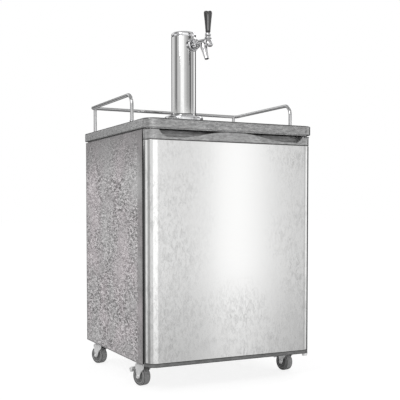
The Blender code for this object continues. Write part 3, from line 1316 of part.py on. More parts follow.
def make_lever():
    """The lever: a ball with a tail below and a stem above, which the ferrule and handle go over."""
    pivot = empty("tap_lever_pivot", LEVER_PIVOT, parent=TAP)
    ball_steps = 6
    waist = math.degrees(math.asin(LEVER_STEM_RADIUS / LEVER_BALL_RADIUS))
    narrow = math.degrees(math.asin(LEVER_TAIL_RADIUS / LEVER_BALL_RADIUS))
    ball = arc((0.0, 0.0), LEVER_BALL_RADIUS, 90 - waist, -90 + narrow, ball_steps)
    profile = [(0.0, LEVER_STEM_TOP), (LEVER_STEM_RADIUS, LEVER_STEM_TOP)] + ball
    profile += [(LEVER_TAIL_RADIUS, -LEVER_TAIL_REACH), (0.0, -LEVER_TAIL_REACH)]
    turned("tap_lever", profile, CHROME, steps=SMALL_STEPS, parent=pivot)
    bore = LEVER_STEM_RADIUS + FERRULE_CLEARANCE
    cup_top = 90 - math.degrees(math.asin(bore / FERRULE_CUP_RADIUS))
    ferrule = [
        (FERRULE_NECK_RADIUS, FERRULE_TOP),
        (FERRULE_RADIUS, FERRULE_SHOULDER),
        (FERRULE_RADIUS, FERRULE_SIDE),
    ]
    ferrule += arc((0.0, 0.0), FERRULE_CUP_RADIUS, 90 - FERRULE_CUP_EDGE, cup_top, 3)
    ferrule += [(bore, FERRULE_TOP)]
    turned("handle_ferrule", ferrule, CHROME, closed=True, steps=ROUND_STEPS, parent=pivot)
    make_handle(pivot)


def make_handle(pivot):
    """The handle: a lobed section carried up with its width changing, with a socket for the stem."""
    rings = []
    for height_share, radius_share in zip(HANDLE_HEIGHT_SHARES, HANDLE_RADIUS_SHARES):
        height = HANDLE_BOTTOM + (HANDLE_TOP - HANDLE_BOTTOM) * height_share
        ring = []
        for step in range(HANDLE_SIDES):
            around = 2 * math.pi * step / HANDLE_SIDES
            swell = 1 - HANDLE_LOBE_DEPTH_SHARE * (1 - math.cos(HANDLE_LOBES * around)) / 2
            radius = HANDLE_RADIUS * radius_share * swell
            ring.append((radius * math.cos(around), radius * math.sin(around), height))
        rings.append(ring)
    handle = add("tap_handle", loft_mesh(rings), BLACK_GLOSS, parent=pivot)
    socket_top = HANDLE_BOTTOM + HANDLE_SOCKET_DEPTH
    socket = rod_mesh(LEVER_STEM_RADIUS + HANDLE_SOCKET_CLEARANCE, HANDLE_BOTTOM - OVERRUN, socket_top)
    cut(handle, add("handle_socket", socket, parent=pivot))


# Casters

def make_caster(corner, x, y, braked):
    """One caster. Its frame is the swivel axis on the floor, and its wheel trails towards local +Y."""
    swivel = empty(f"swivel_{corner}", (x, y, 0.0), CASTER_HEADINGS[corner])
    plate_top = CASTER_HEIGHT - SEAT_GAP
    plate_low = plate_top - PLATE_THICKNESS
    square = rounded_outline((-PLATE_HALF_WIDTH,) * 2, (PLATE_HALF_WIDTH,) * 2, PLATE_RADIUS, steps=3)
    flat = Matrix.Translation((x, y, 0.0))
    plate = add(f"caster_plate_{corner}", plate_mesh([square], plate_low, plate_top), ZINC, flat)
    head_top = FORK_UNDERSIDE - SEAT_GAP
    race = [
        (0.0, plate_low + PLATE_THICKNESS / 2),
        (RACE_RADIUS, plate_low + PLATE_THICKNESS / 2),
        (RACE_RADIUS, RACE_BOTTOM),
        (KINGPIN_RADIUS, RACE_BOTTOM),
        (KINGPIN_RADIUS, head_top),
        (KINGPIN_HEAD_RADIUS, head_top),
        (KINGPIN_HEAD_RADIUS, head_top - KINGPIN_HEAD_HEIGHT),
        (0.0, head_top - KINGPIN_HEAD_HEIGHT),
    ]
    join(plate, turned(f"caster_race_{corner}", race, steps=SMALL_STEPS, place=flat))
    make_fork(corner, swivel, braked)
    make_wheel(corner, swivel)
    if braked:
        make_brake(corner, swivel)


def cheek_outline():
    """A fork cheek seen from the side: along the trail, and up. Wide at the top and round at the axle."""
    lower = FORK_UNDERSIDE - FORK_CHEEK_DEPTH
    bottom = arc((CASTER_TRAIL, WHEEL_RADIUS), FORK_AXLE_RADIUS, -155, -15, 4)
    return [(-CHEEK_FRONT_REACH, FORK_TOP), (-CHEEK_FRONT_REACH, lower), CHEEK_WAIST] + bottom + [
        (FORK_REAR_REACH, lower + FORK_CHEEK_DEPTH / 2),
        (FORK_REAR_REACH, FORK_TOP),
    ]


def make_fork(corner, swivel, braked):
    """The pressed fork: two cheeks under a round top plate that turns on the kingpin."""
    cheek = plate_mesh([cheek_outline()], CHEEK_INNER, CHEEK_OUTER, SIDE_OUTLINE)
    fork = add(f"caster_fork_{corner}", cheek, ZINC, parent=swivel)
    other = plate_mesh([cheek_outline()], -CHEEK_OUTER, -CHEEK_INNER, SIDE_OUTLINE)
    top = rod_mesh(FORK_TOP_RADIUS, FORK_UNDERSIDE, FORK_TOP)
    bridge_low = (-CHEEK_OUTER, -FORK_FRONT_REACH, FORK_UNDERSIDE)
    bridge_high = (CHEEK_OUTER, FORK_REAR_REACH, FORK_TOP)
    join(fork, add(f"fork_cheek_{corner}", other, parent=swivel))
    join(fork, add(f"fork_bridge_{corner}", box_mesh(bridge_low, bridge_high), parent=swivel))
    join(fork, add(f"fork_top_{corner}", top, parent=swivel))
    hole = rod_mesh(KINGPIN_RADIUS + KINGPIN_CLEARANCE, FORK_UNDERSIDE - OVERRUN, FORK_TOP + OVERRUN)
    cut(fork, add(f"kingpin_drill_{corner}", hole, parent=swivel))
    axle_spot = Matrix.Translation((0.0, CASTER_TRAIL, WHEEL_RADIUS)) @ TOWARDS_SIDE
    drill = rod_mesh(AXLE_RADIUS + SEAT_GAP, -CHEEK_OUTER - OVERRUN, CHEEK_OUTER + OVERRUN, AXLE_SIDES)
    cut(fork, add(f"axle_drill_{corner}", drill, place=axle_spot, parent=swivel))
    if braked:
        half = CHEEK_OUTER + OVERRUN
        drill = rod_mesh(BRAKE_PIN_RADIUS + BRAKE_PIN_CLEARANCE, -half, half, 8)
        spot = Matrix.Translation(brake_pivot()) @ TOWARDS_SIDE
        cut(fork, add(f"brake_drill_{corner}", drill, place=spot, parent=swivel))


def make_wheel(corner, swivel):
    """The wheel, its flats set to the rolling radius, and the bolt it turns on."""
    axle = empty(f"axle_{corner}", (0.0, CASTER_TRAIL, WHEEL_RADIUS), parent=swivel)
    reach = 1 / math.cos(math.pi / WHEEL_STEPS)
    bore = (AXLE_RADIUS + WHEEL_BORE_CLEARANCE) * reach
    hub = CHEEK_INNER - WHEEL_HUB_CLEARANCE
    tread, rim, boss = WHEEL_RADIUS * reach, WHEEL_RIM_RADIUS, WHEEL_HUB_RADIUS
    right = [
        (bore, hub),
        (boss, hub),
        (rim - WHEEL_DISH, WHEEL_HALF - WHEEL_DISH),
        (rim, WHEEL_HALF),
        (tread - WHEEL_SHOULDER / 2, WHEEL_HALF),
        (tread, WHEEL_HALF - WHEEL_SHOULDER),
    ]
    profile = right + [(radius, -height) for radius, height in reversed(right)]
    half_step = Matrix.Rotation(math.pi / WHEEL_STEPS, 4, "Z")
    turned(
        f"caster_wheel_{corner}",
        profile,
        RUBBER,
        closed=True,
        steps=WHEEL_STEPS,
        place=TOWARDS_SIDE @ half_step,
        parent=axle,
    )
    face = CHEEK_OUTER + SEAT_GAP
    bolt = [
        (0.0, face + AXLE_HEAD_LENGTH),
        (AXLE_HEAD_RADIUS, face + AXLE_HEAD_LENGTH),
        (AXLE_HEAD_RADIUS, face),
        (AXLE_RADIUS, face),
    ]
    bolt += [(radius, -height) for radius, height in reversed(bolt)]
    turned(f"caster_axle_{corner}", bolt, ZINC, steps=AXLE_SIDES, place=TOWARDS_SIDE, parent=axle)


def brake_pivot():
    return Vector((0.0, BRAKE_PIVOT_TRAIL, FORK_UNDERSIDE - BRAKE_PIVOT_DROP))


def make_brake(corner, swivel):
    """The foot brake: a sloped tab with a deep pad at its end, on a pin between the cheeks."""
    pivot = empty(f"brake_pivot_{corner}", brake_pivot(), parent=swivel)
    half = BRAKE_HALF_WIDTH
    slope = Matrix.Rotation(-BRAKE_SLOPE, 4, "X")
    outline = rounded_outline((-half, 0.0), (half, BRAKE_REACH), 0.0, BRAKE_NOSE_RADIUS)
    tab = plate_mesh([outline], -BRAKE_THICKNESS / 2, BRAKE_THICKNESS / 2)
    brake = add(f"brake_lever_{corner}", tab, ZINC, place=slope, parent=pivot)
    eye = rod_mesh(BRAKE_EYE_RADIUS, -half, half, 10)
    pin = rod_mesh(BRAKE_PIN_RADIUS, -CHEEK_OUTER, CHEEK_OUTER, 8)
    pad_outline = rounded_outline((-half, BRAKE_PAD_START), (half, BRAKE_REACH), 0.0, BRAKE_NOSE_RADIUS)
    pad = plate_mesh([pad_outline], -BRAKE_PAD_DEPTH, 0.0)
    join(brake, add(f"brake_pad_{corner}", pad, place=slope, parent=pivot))
    join(brake, add(f"brake_eye_{corner}", eye, place=TOWARDS_SIDE, parent=pivot))
    join(brake, add(f"brake_pin_{corner}", pin, place=TOWARDS_SIDE, parent=pivot))


TAP = empty("tap_axis", (0.0, TOWER_Y, SHANK_HEIGHT), TAP_TURN)
DOOR_AXIS = empty("door_axis", (HINGE_X, HINGE_Y, 0.0))

make_wrap()
make_back_panel()
make_base_pan()
make_insulation()
make_liner()
make_worktop()
make_drip_tray()
make_drip_grate()
for make in (
    make_door_skin,
    make_door_core,
    make_door_liner,
    make_door_top_cap,
    make_door_bottom_cap,
    make_door_gasket,
):
    make(DOOR_AXIS)
make_hinges()
make_keg_plate()
make_evaporator()
make_control_box()
make_knob()
make_compressor()
make_compressor_cover()
make_rail()
make_rail_feet()
make_tower()
make_shank()
make_escutcheon()
make_coupling_nut()
make_tap_body()
make_bonnet()
make_plunger()
make_lever()
for end, depth in (("front", CASTER_FRONT_Y), ("rear", CASTER_REAR_Y)):
    for side, label in ((-1, "left"), (1, "right")):
        make_caster(f"{end}_{label}", side * CASTER_X, depth, braked=end == "front")
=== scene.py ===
"""The looks of a full-size kegerator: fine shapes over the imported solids, finishes, studio and camera."""

import json
import math

import bmesh
import bpy
import numpy as np
from mathutils import Matrix, Vector


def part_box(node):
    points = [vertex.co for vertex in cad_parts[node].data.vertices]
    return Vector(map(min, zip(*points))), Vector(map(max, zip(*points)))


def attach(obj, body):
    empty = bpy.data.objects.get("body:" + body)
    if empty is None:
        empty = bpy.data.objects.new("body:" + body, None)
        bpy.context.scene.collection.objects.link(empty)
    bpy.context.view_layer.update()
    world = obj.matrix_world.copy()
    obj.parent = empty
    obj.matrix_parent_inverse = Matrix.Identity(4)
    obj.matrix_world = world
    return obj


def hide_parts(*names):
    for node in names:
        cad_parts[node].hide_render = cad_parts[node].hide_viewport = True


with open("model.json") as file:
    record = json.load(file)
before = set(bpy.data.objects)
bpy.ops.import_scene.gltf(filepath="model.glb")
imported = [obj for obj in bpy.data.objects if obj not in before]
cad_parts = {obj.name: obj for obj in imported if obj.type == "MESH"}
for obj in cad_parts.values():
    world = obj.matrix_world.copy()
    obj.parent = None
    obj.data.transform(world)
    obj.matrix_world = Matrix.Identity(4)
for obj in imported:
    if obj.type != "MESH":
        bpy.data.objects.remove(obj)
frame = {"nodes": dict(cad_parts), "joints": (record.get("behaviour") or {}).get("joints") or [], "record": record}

JOINTS = {joint["name"]: joint for joint in frame["joints"]}
CORNERS = ("front_left", "front_right", "rear_left", "rear_right")
FULL_TURN = 2 * math.pi
HALF_TURN = math.pi
QUARTER_TURN = math.pi / 2


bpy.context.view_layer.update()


# Shader nodes

def operator(operation, swapped=False):
    """A method that adds a Math node to its wire."""
    def apply(wire, *others):
        values = (*others, wire) if swapped else (wire, *others)
        return wire.nodes.maths(operation, *values)
    return apply


class Wire:
    """A socket's value. Arithmetic on it adds Math nodes."""

    __add__ = __radd__ = operator("ADD")
    __sub__ = operator("SUBTRACT")
    __rsub__ = operator("SUBTRACT", swapped=True)
    __mul__ = __rmul__ = operator("MULTIPLY")
    __pow__ = operator("POWER")
    __abs__ = operator("ABSOLUTE")
    larger = operator("MAXIMUM")

    def __init__(self, nodes, socket):
        self.nodes = nodes
        self.socket = socket

    def between(self, low, high):
        """The value spread from low..high to 0..1."""
        return self.nodes.node("ShaderNodeMapRange", {"Value": self, "From Min": low, "From Max": high})


class Nodes:
    """A node tree."""

    def __init__(self, tree):
        self.tree = tree

    def feed(self, socket, value):
        if isinstance(value, Wire):
            self.tree.links.new(value.socket, socket)
        else:
            socket.default_value = value

    def node(self, kind, inputs=None, output=0, stops=None, **settings):
        """Any node, with its settings, a ramp's stops and its inputs."""
        made = self.tree.nodes.new(kind)
        for name, value in settings.items():
            setattr(made, name, value)
        if stops:
            ramp = made.color_ramp
            while len(ramp.elements) < len(stops):
                ramp.elements.new(1.0)
            for element, (place, shade) in zip(ramp.elements, stops):
                element.position = place
                element.color = (*grey(shade), 1.0)
        for name, value in (inputs or {}).items():
            self.feed(made.inputs[name], value)
        return Wire(self, made.outputs[output])

    def maths(self, operation, *values):
        return self.node("ShaderNodeMath", dict(enumerate(values)), operation=operation)

    def split(self, vector=None):
        """The three parts of a vector, or of the object's own coordinates."""
        vector = vector or self.place()
        return [self.node("ShaderNodeSeparateXYZ", {0: vector}, output=index) for index in range(3)]

    def place(self, **mapping):
        """The object's own coordinates, in metres, with any Location, Rotation and Scale."""
        where = self.node("ShaderNodeTexCoord", output="Object")
        return self.node("ShaderNodeMapping", {"Vector": where, **mapping})

    def noise(self, scale, stretch=(1.0, 1.0, 1.0), turn=(0.0, 0.0, 0.0), detail=3.0, rough=0.55, curl=0.0):
        where = self.place(Scale=stretch, Rotation=turn)
        inputs = {"Vector": where, "Scale": scale, "Detail": detail, "Roughness": rough, "Distortion": curl}
        return self.node("ShaderNodeTexNoise", inputs)

    def cells(self, scale):
        """Distance to the nearest of scattered points."""
        return self.node("ShaderNodeTexVoronoi", {"Vector": self.place(), "Scale": scale})

    def mix(self, share, first, second):
        inputs = {0: share}
        for socket, shade in ((6, first), (7, second)):
            inputs[socket] = (*shade, 1.0) if isinstance(shade, tuple) else shade
        return self.node("ShaderNodeMix", inputs, output=2, data_type="RGBA")


class Finish(Nodes):
    """One material: a Principled shader and the pattern nodes that feed it."""

    def __init__(self, name, colour, roughness, metallic=0.0, **extra):
        self.material = bpy.data.materials.new(name)
        self.material.use_nodes = True
        super().__init__(self.material.node_tree)
        self.shader = self.tree.nodes["Principled BSDF"]
        self.set(**{"Base Color": (*colour, 1.0), "Roughness": roughness, "Metallic": metallic}, **extra)

    def set(self, **sockets):
        for name, value in sockets.items():
            self.feed(self.shader.inputs[name], value)

    def made(self, tone, roughness, height, depth, strength):
        """The material, with a relief in metres and any patterned tone and roughness."""
        relief = {"Height": height, "Distance": depth, "Strength": strength}
        self.set(Normal=self.node("ShaderNodeBump", relief))
        if tone:
            self.set(**{"Base Color": tone})
        if roughness:
            self.set(Roughness=roughness)
        return self.material


# Finishes

# The door's upper middle, kept plain of strokes as a painted highlight, and the distances and heights over which
# strokes appear round it
HIGHLIGHT_CENTRE = 0.020
HIGHLIGHT_REACH = (0.070, 0.190)
HIGHLIGHT_HEIGHT = (0.36, 0.22)
# Distances from an edge of the cabinet over which painted shade grows, and over which the front strip turns plain
# and darker, also as painted shade
FRONT_SHADE = (0.040, 0.002)
REAR_SHADE = (0.016, 0.002)
TOP_SHADE = (0.150, 0.010)
FOOT_SHADE = (0.0050, 0.0030)
PLAIN_SHADED_STRIP = (0.044, 0.034)
# Distances over which painted lines grow: painted shade at the column's foot, the liner's flange and the door's
# foot, and a painted highlight in the handle's grooves
COLUMN_FOOT_SHADE = (0.0032, 0.0016)
FLANGE_GAP_SHADE = (0.0034, 0.0028)
DOOR_FOOT_SHADE = (0.003, 0.001)
GROOVE_HIGHLIGHT = (0.0032, 0.0016)


def grey(level):
    return (level, level, level)


def dimmed(colour, share):
    return tuple(value * share for value in colour)


def brushed_steel(name, colour, roughness, grain, mottle, foot=None, smooth=False):
    """Stainless sheet: grain, dull strokes in patches, any painted shade at its foot and any middle kept plain as
    a painted highlight.
    """
    steel = Finish(name, colour, roughness, 1.0)
    x, _, z = steel.split()
    lines = steel.noise(900.0, grain, detail=4.0, rough=0.7)
    patches = steel.noise(6.0, detail=4.0, rough=0.6).between(0.40, 0.62)
    strokes = steel.noise(120.0, (1.0, 1.0, 0.45), (0.0, 0.4, 0.0), rough=0.65, curl=0.8)
    marks = strokes.between(0.42, 0.66) * (patches * 0.75 + 0.25)
    if smooth:
        # Painted highlight: no strokes in the door's upper middle, so it stays plain and bright.
        marks = marks * abs(x - HIGHLIGHT_CENTRE).between(*HIGHLIGHT_REACH).larger(z.between(*HIGHLIGHT_HEIGHT))
    tone = steel.mix(marks, colour, dimmed(colour, 1.0 - mottle))
    if foot:
        # Painted shade: the column goes nearly black just above the collar, where it meets it.
        tone = steel.mix((z - foot).between(*COLUMN_FOOT_SHADE), tone, grey(0.05))
    wear = (lines - 0.5) * 0.05 + marks * 0.05 + roughness
    return steel.made(tone, wear, lines * 0.6 + strokes * 0.4, 0.00003, 0.4)


def polished_chrome(name, colour, roughness, metallic=1.0):
    """Plated metal: nearly a mirror, with faint smears."""
    chrome = Finish(name, colour, roughness, metallic)
    smears = chrome.noise(60.0, detail=4.0).between(0.35, 0.75)
    return chrome.made(None, smears * 0.06 + roughness, chrome.noise(320.0, detail=2.0), 0.000008, 0.3)


def plated_zinc(name, colour):
    """Bright zinc on pressed steel, in patches."""
    zinc = Finish(name, colour, 0.38, 0.6)
    grime = zinc.noise(70.0, detail=4.0)
    tone = zinc.mix(grime.between(0.48, 0.78), colour, dimmed(colour, 0.82))
    return zinc.made(tone, zinc.cells(150.0) * 0.20 + 0.30, grime, 0.0001, 0.4)


def pebbled_paint(name, light, dark):
    """Textured paint: curled pebbles with dark creases, broad clouds, painted shade at the front edge and under
    the worktop, and darker lines along the rear edge and the foot.
    """
    low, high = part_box("cabinet_wrap")
    paint = Finish(name, light, 0.5)
    _, y, z = paint.split()
    worms = paint.noise(150.0, (1.0, 0.45, 1.0), (0.6, 0.0, 0.0), detail=1.5, curl=1.2)
    creases = paint.noise(125.0, (1.0, 0.45, 1.0), (-0.5, 0.0, 0.0), detail=1.0, rough=0.5, curl=0.9)
    creases = abs(creases - 0.5).between(0.0, 0.05)
    bold = paint.noise(11.0, detail=2.0).between(0.36, 0.56) * 0.55 + 0.45
    speckle = (worms.between(0.40, 0.60) - 0.5) * bold + 0.5
    speckle = speckle - (1.0 - creases) * bold * 0.45
    # Painted shade: the strip along the front edge turns plain and darker.
    speckle = speckle + (0.22 - speckle) * (y - low.y).between(*PLAIN_SHADED_STRIP) * 0.85
    tone = paint.mix(speckle, dark, light)
    clouds = paint.noise(7.0)
    for tints, reach in (((0.99, 0.92, 0.95), (0.48, 0.66)), ((0.90, 0.95, 0.93), (0.50, 0.34))):
        tinted = tuple(value * tint for value, tint in zip(light, tints))
        tone = paint.mix(clouds.between(*reach) * 0.35, tone, tinted)
    # Painted shade at the front edge and under the worktop; darker lines along the rear edge and the foot.
    edge = ((y - low.y).between(*FRONT_SHADE) * 0.76).larger((high.y - y).between(*REAR_SHADE))
    top = (high.z - z).between(*TOP_SHADE)
    foot = (z - low.z).between(*FOOT_SHADE)
    for band in (edge**2.0 * 0.80, top * 0.74, foot * 0.80):
        tone = paint.mix(band, tone, dimmed(light, 0.30))
    return paint.made(tone, speckle * 0.15 + 0.45, speckle, 0.0009, 0.8)


def moulded_plastic(name, light, dark, roughness, metallic=0.0, line=None):
    """Moulded plastic with short slanting streaks, and any band of painted shade between two heights."""
    plastic = Finish(name, light, roughness, metallic)
    streaks = plastic.noise(140.0, (0.45, 0.55, 1.3), (0.0, 0.55, 0.35), detail=4.0, rough=0.65, curl=0.5)
    fine = plastic.noise(650.0)
    tone = plastic.mix(streaks.between(0.34, 0.66), dark, light)
    if line:
        z = plastic.split()[2]
        middle, half = (line[0] + line[1]) / 2, (line[1] - line[0]) / 2
        # Painted shade: the band between the two heights darkens nearly to black.
        tone = plastic.mix(abs(z - middle).between(half * 1.3, half * 0.7) * 0.85, tone, dimmed(dark, 0.2))
    return plastic.made(tone, (fine - 0.5) * 0.2 + roughness, fine * 0.6 + streaks * 0.7, 0.0003, 0.7)


def edged_plastic(name, light, dark, low, high):
    """Grained plastic with painted shade towards the lower and the upper level."""
    plastic = Finish(name, light, 0.42)
    streaks = plastic.noise(90.0, (0.5, 0.5, 1.5), detail=4.0, rough=0.65)
    z = plastic.split()[2]
    # Painted shade along the top and bottom edges of the door's foot.
    lines = (z - low).between(*DOOR_FOOT_SHADE).larger((high - z).between(*DOOR_FOOT_SHADE))
    tone = plastic.mix(streaks.between(0.36, 0.66), dimmed(light, 0.6), light)
    return plastic.made(plastic.mix(lines, tone, dark), None, streaks, 0.0003, 0.6)


def smooth_plastic(name, colour, front=None):
    """Smooth moulded plastic with a little flow in its gloss, and any painted shade on the flange at the front."""
    plastic = Finish(name, colour, 0.35)
    flow = plastic.noise(45.0, (1.0, 1.0, 0.4))
    tone = plastic.mix(flow.between(0.4, 0.7), colour, dimmed(colour, 0.86))
    if front:
        y = plastic.split()[1]
        # Painted shade: the front flange goes nearly black, so the gap round the door reads dark.
        tone = plastic.mix((y - front).between(*FLANGE_GAP_SHADE), tone, grey(0.03))
    wear = flow.between(0.3, 0.7) * 0.08 + 0.35
    return plastic.made(tone, wear, plastic.noise(420.0, detail=2.0), 0.00004, 0.5)


def fluted_gloss(name, colour, pale):
    """Black lacquer with a painted highlight down its four grooves: there, across and along the tap are equally
    far out.
    """
    lacquer = Finish(name, colour, 0.16, **{"Coat Weight": 0.8, "Coat Roughness": 0.06})
    low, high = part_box("tap_handle")
    axis = Vector(JOINTS["lever_tilt"]["axis"])
    turn = -math.atan2(axis.y, axis.x)
    centre = (low + high) / 2
    shift = Matrix.Rotation(turn, 3, "Z") @ Vector((centre.x, centre.y, 0.0))
    across, along, z = lacquer.split(lacquer.place(Location=tuple(-shift), Rotation=(0.0, 0.0, turn)))
    # Painted highlight: a pale line down each groove, faded out at both ends.
    groove = abs(abs(across) - abs(along)).between(*GROOVE_HIGHLIGHT) * (z - low.z).between(0.002, 0.008)
    groove = groove * (high.z - z).between(0.008, 0.018)
    flow = lacquer.noise(60.0, (1.0, 1.0, 0.3))
    tone = lacquer.mix(flow.between(0.4, 0.7), colour, dimmed(colour, 2.2))
    return lacquer.made(lacquer.mix(groove * 0.9, tone, pale), None, flow, 0.00005, 0.5)


def worn_and_shaded_rubber(name, colour, wheel=None):
    """Rubber, scuffed lighter in patches. On a wheel, painted shade in rings round the web, the rim and the tread.
    """
    rubber = Finish(name, colour, 0.55)
    scuffs = rubber.noise(120.0, detail=5.0, rough=0.7)
    tone = rubber.mix(scuffs.between(0.48, 0.72), colour, dimmed(colour, 1.5))
    if wheel:
        back = wheel.inverted()
        place = rubber.place(Location=tuple(back.translation), Rotation=tuple(back.to_euler()))
        x, y, z = rubber.split(place)
        radius = (y**2.0 + z**2.0) ** 0.5
        # Painted shade: dark rings where the face steps down to the web, in the rim's groove and at the tread's
        # shoulders.
        web = radius.between(0.0214, 0.0202) * 0.55
        rim = abs(radius - 0.0252).between(0.0016, 0.0008)
        tread = abs(abs(x) - 0.0112).between(0.0018, 0.0008) * radius.between(0.0284, 0.0290)
        tone = rubber.mix(web.larger(rim).larger(tread) * 0.85, tone, dimmed(colour, 0.12))
    return rubber.made(tone, scuffs * 0.3 + 0.40, scuffs, 0.0003, 0.6)


def foam_block(name, colour):
    """Blown insulation: open cells."""
    foam = Finish(name, colour, 0.9)
    cells = foam.cells(420.0)
    tone = foam.mix(cells.between(0.2, 0.7), dimmed(colour, 0.7), colour)
    return foam.made(tone, None, cells, 0.0008, 0.8)


TOP_LOW, TOP_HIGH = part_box("worktop")
CAP_LOW, CAP_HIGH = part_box("door_top_cap")
FOOT_LOW, FOOT_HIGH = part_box("door_bottom_cap")
STEEL = (0.86, 0.86, 0.855)
WHITE = (0.78, 0.78, 0.76)
ALONG_X = (0.012, 1.0, 1.0)
ALONG_Z = (1.0, 1.0, 0.012)
# Painted shade along the worktop's rolled top edge.
WORKTOP_EDGE_SHADE = (TOP_HIGH.z - 0.0030, TOP_HIGH.z - 0.0003)
# Painted shade in the seam between the door's cap and its skin.
CAP_SEAM_SHADE = (CAP_LOW.z - 0.0005, CAP_LOW.z + 0.0026)

DOOR_STEEL = brushed_steel("door_steel", STEEL, 0.09, ALONG_X, 0.26, smooth=True)
TOWER_STEEL = brushed_steel("tower_steel", STEEL, 0.05, ALONG_Z, 0.08, foot=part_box("tower_base")[1].z)
GRATE_STEEL = brushed_steel("grate_steel", STEEL, 0.22, ALONG_X, 0.10)
ALUMINIUM = brushed_steel("aluminium", grey(0.74), 0.30, (0.02, 1.0, 1.0), 0.10)
CHROME = polished_chrome("chrome", (0.86, 0.86, 0.87), 0.05)
RAIL_CHROME = polished_chrome("rail_chrome", (0.62, 0.62, 0.625), 0.08, 0.92)
TAP_CHROME = polished_chrome("tap_chrome", (0.74, 0.74, 0.75), 0.06)
ZINC = plated_zinc("zinc", grey(0.93))
SHADED_ZINC = plated_zinc("shaded_zinc", grey(0.30))
CABINET_PAINT = pebbled_paint("cabinet_paint", (0.72, 0.694, 0.701), (0.140, 0.131, 0.134))
BLACK_PAINT = smooth_plastic("black_paint", grey(0.025))
WORKTOP_PLASTIC = moulded_plastic("worktop_plastic", grey(0.55), grey(0.29), 0.12, 0.80, WORKTOP_EDGE_SHADE)
CAP_PLASTIC = moulded_plastic("cap_plastic", grey(0.52), grey(0.28), 0.12, 0.55, CAP_SEAM_SHADE)
DARK_PLASTIC = moulded_plastic("dark_plastic", grey(0.085), grey(0.04), 0.45)
FOOT_PLASTIC = edged_plastic("foot_plastic", grey(0.20), grey(0.045), FOOT_LOW.z, FOOT_HIGH.z)
WHITE_PLASTIC = smooth_plastic("white_plastic", WHITE)
LINER_PLASTIC = smooth_plastic("liner_plastic", WHITE, front=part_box("inner_liner")[0].y)
HANDLE_GLOSS = fluted_gloss("handle_gloss", grey(0.012), grey(0.36))
GASKET_RUBBER = worn_and_shaded_rubber("gasket_rubber", grey(0.020))
WHEEL_RUBBER = worn_and_shaded_rubber("wheel_rubber", grey(0.20))
FOAM = foam_block("foam", (0.72, 0.62, 0.38))

SLOT_FINISHES = dict(
    grey_paint=CABINET_PAINT, black_paint=BLACK_PAINT, black_gloss=HANDLE_GLOSS, zinc=ZINC, chrome=CHROME,
    stainless=DOOR_STEEL, aluminium=ALUMINIUM, rubber=WHEEL_RUBBER, foam=FOAM,
    white_plastic=WHITE_PLASTIC, grey_plastic=WORKTOP_PLASTIC, dark_plastic=DARK_PLASTIC,
)
NODE_FINISHES = dict(
    door_gasket=GASKET_RUBBER, drip_grate=GRATE_STEEL, upper_hinge=SHADED_ZINC,
    door_top_cap=CAP_PLASTIC, inner_liner=LINER_PLASTIC,
)


def dress_nodes():
    """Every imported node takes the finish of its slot."""
    slots = {entry["node"]: entry["material_slot"] for entry in frame["record"]["subparts"]}
    for name, node in frame["nodes"].items():
        node.data.materials.clear()
        node.data.materials.append(NODE_FINISHES.get(name, SLOT_FINISHES[slots[name]]))


dress_nodes()


# Shapes as arrays of points. A flat stays evenly shaded because a point is held on it beside each curve.

HOLD = 0.0006
MERGE_DISTANCE = 0.000004
# For a softened corner's curve and for the point held beside it: times the reach, and the most of a side
CURVE_SPAN = (1.0, 0.45)
HELD_SPAN = (1.3, 0.48)
IN_PLACE = Matrix.Identity(4)
TUBE_SIDES = 28
ASIDE = (1.0, -0.83, 0.71)
UP = Vector((0.0, 0.0, 1.0))


def mm(*points):
    """Points given in millimetres, as an array in metres."""
    return np.array(points, float) / 1000.0


def unit(rows):
    return rows / np.linalg.norm(rows, axis=-1, keepdims=True)


def arc(centre, radius, start, end, steps):
    """Points at even angles, in degrees, on a circle about the centre."""
    angles = np.radians(np.linspace(start, end, steps + 1))
    return np.column_stack((centre[0] + radius * np.cos(angles), centre[1] + radius * np.sin(angles)))


def held_arc(centre, radius, start, steps, before, after):
    """An anticlockwise quarter circle with one more point on the straight line before it and after it."""
    points = arc(centre, radius, start, start + 90, steps)
    ends = np.radians([start, start + 90])
    along = np.column_stack((-np.sin(ends), np.cos(ends)))
    return np.vstack((points[:1] - along[:1] * before, points, points[-1:] + along[1:] * after))


def soften(points, reach, steps=4, closed=False):
    """Each corner becomes a parabola that starts and ends the reach away from it."""
    points = np.asarray(points, float)

    def towards(neighbours, span):
        side = neighbours - points
        length = np.linalg.norm(side, axis=1, keepdims=True)
        return points + side / length * np.minimum(span[0] * reach, span[1] * length)

    last, following = np.roll(points, 1, 0), np.roll(points, -1, 0)
    start, end = towards(last, CURVE_SPAN), towards(following, CURVE_SPAN)
    along = np.linspace(0.0, 1.0, steps + 1)[:, None, None]
    curves = (1 - along) ** 2 * start + 2 * along * (1 - along) * points + along**2 * end
    curves = np.concatenate((towards(last, HELD_SPAN)[None], curves, towards(following, HELD_SPAN)[None]))
    curves = curves.transpose(1, 0, 2).reshape(-1, points.shape[1])
    if closed:
        return curves
    return np.vstack((points[:1], curves[steps + 3 : -(steps + 3)], points[-1:]))


def rounded_box(low, high, radii, steps):
    """A rectangle's outline, anticlockwise from the low corner, with an arc at each corner."""
    spots = ((low[0], low[1]), (high[0], low[1]), (high[0], high[1]), (low[0], high[1]))
    inwards = ((1, 1), (-1, 1), (-1, -1), (1, -1))
    sides = np.array((high[0] - low[0], high[1] - low[1]) * 2)
    straights = sides - np.array(radii) - np.roll(radii, -1)
    holds = np.minimum(HOLD, 0.4 * straights)
    parts = []
    for index, (spot, inward, radius) in enumerate(zip(spots, inwards, radii)):
        centre = (spot[0] + inward[0] * radius, spot[1] + inward[1] * radius)
        parts.append(held_arc(centre, radius, 180 + 90 * index, steps, holds[index - 1], holds[index]))
    return np.vstack(parts)


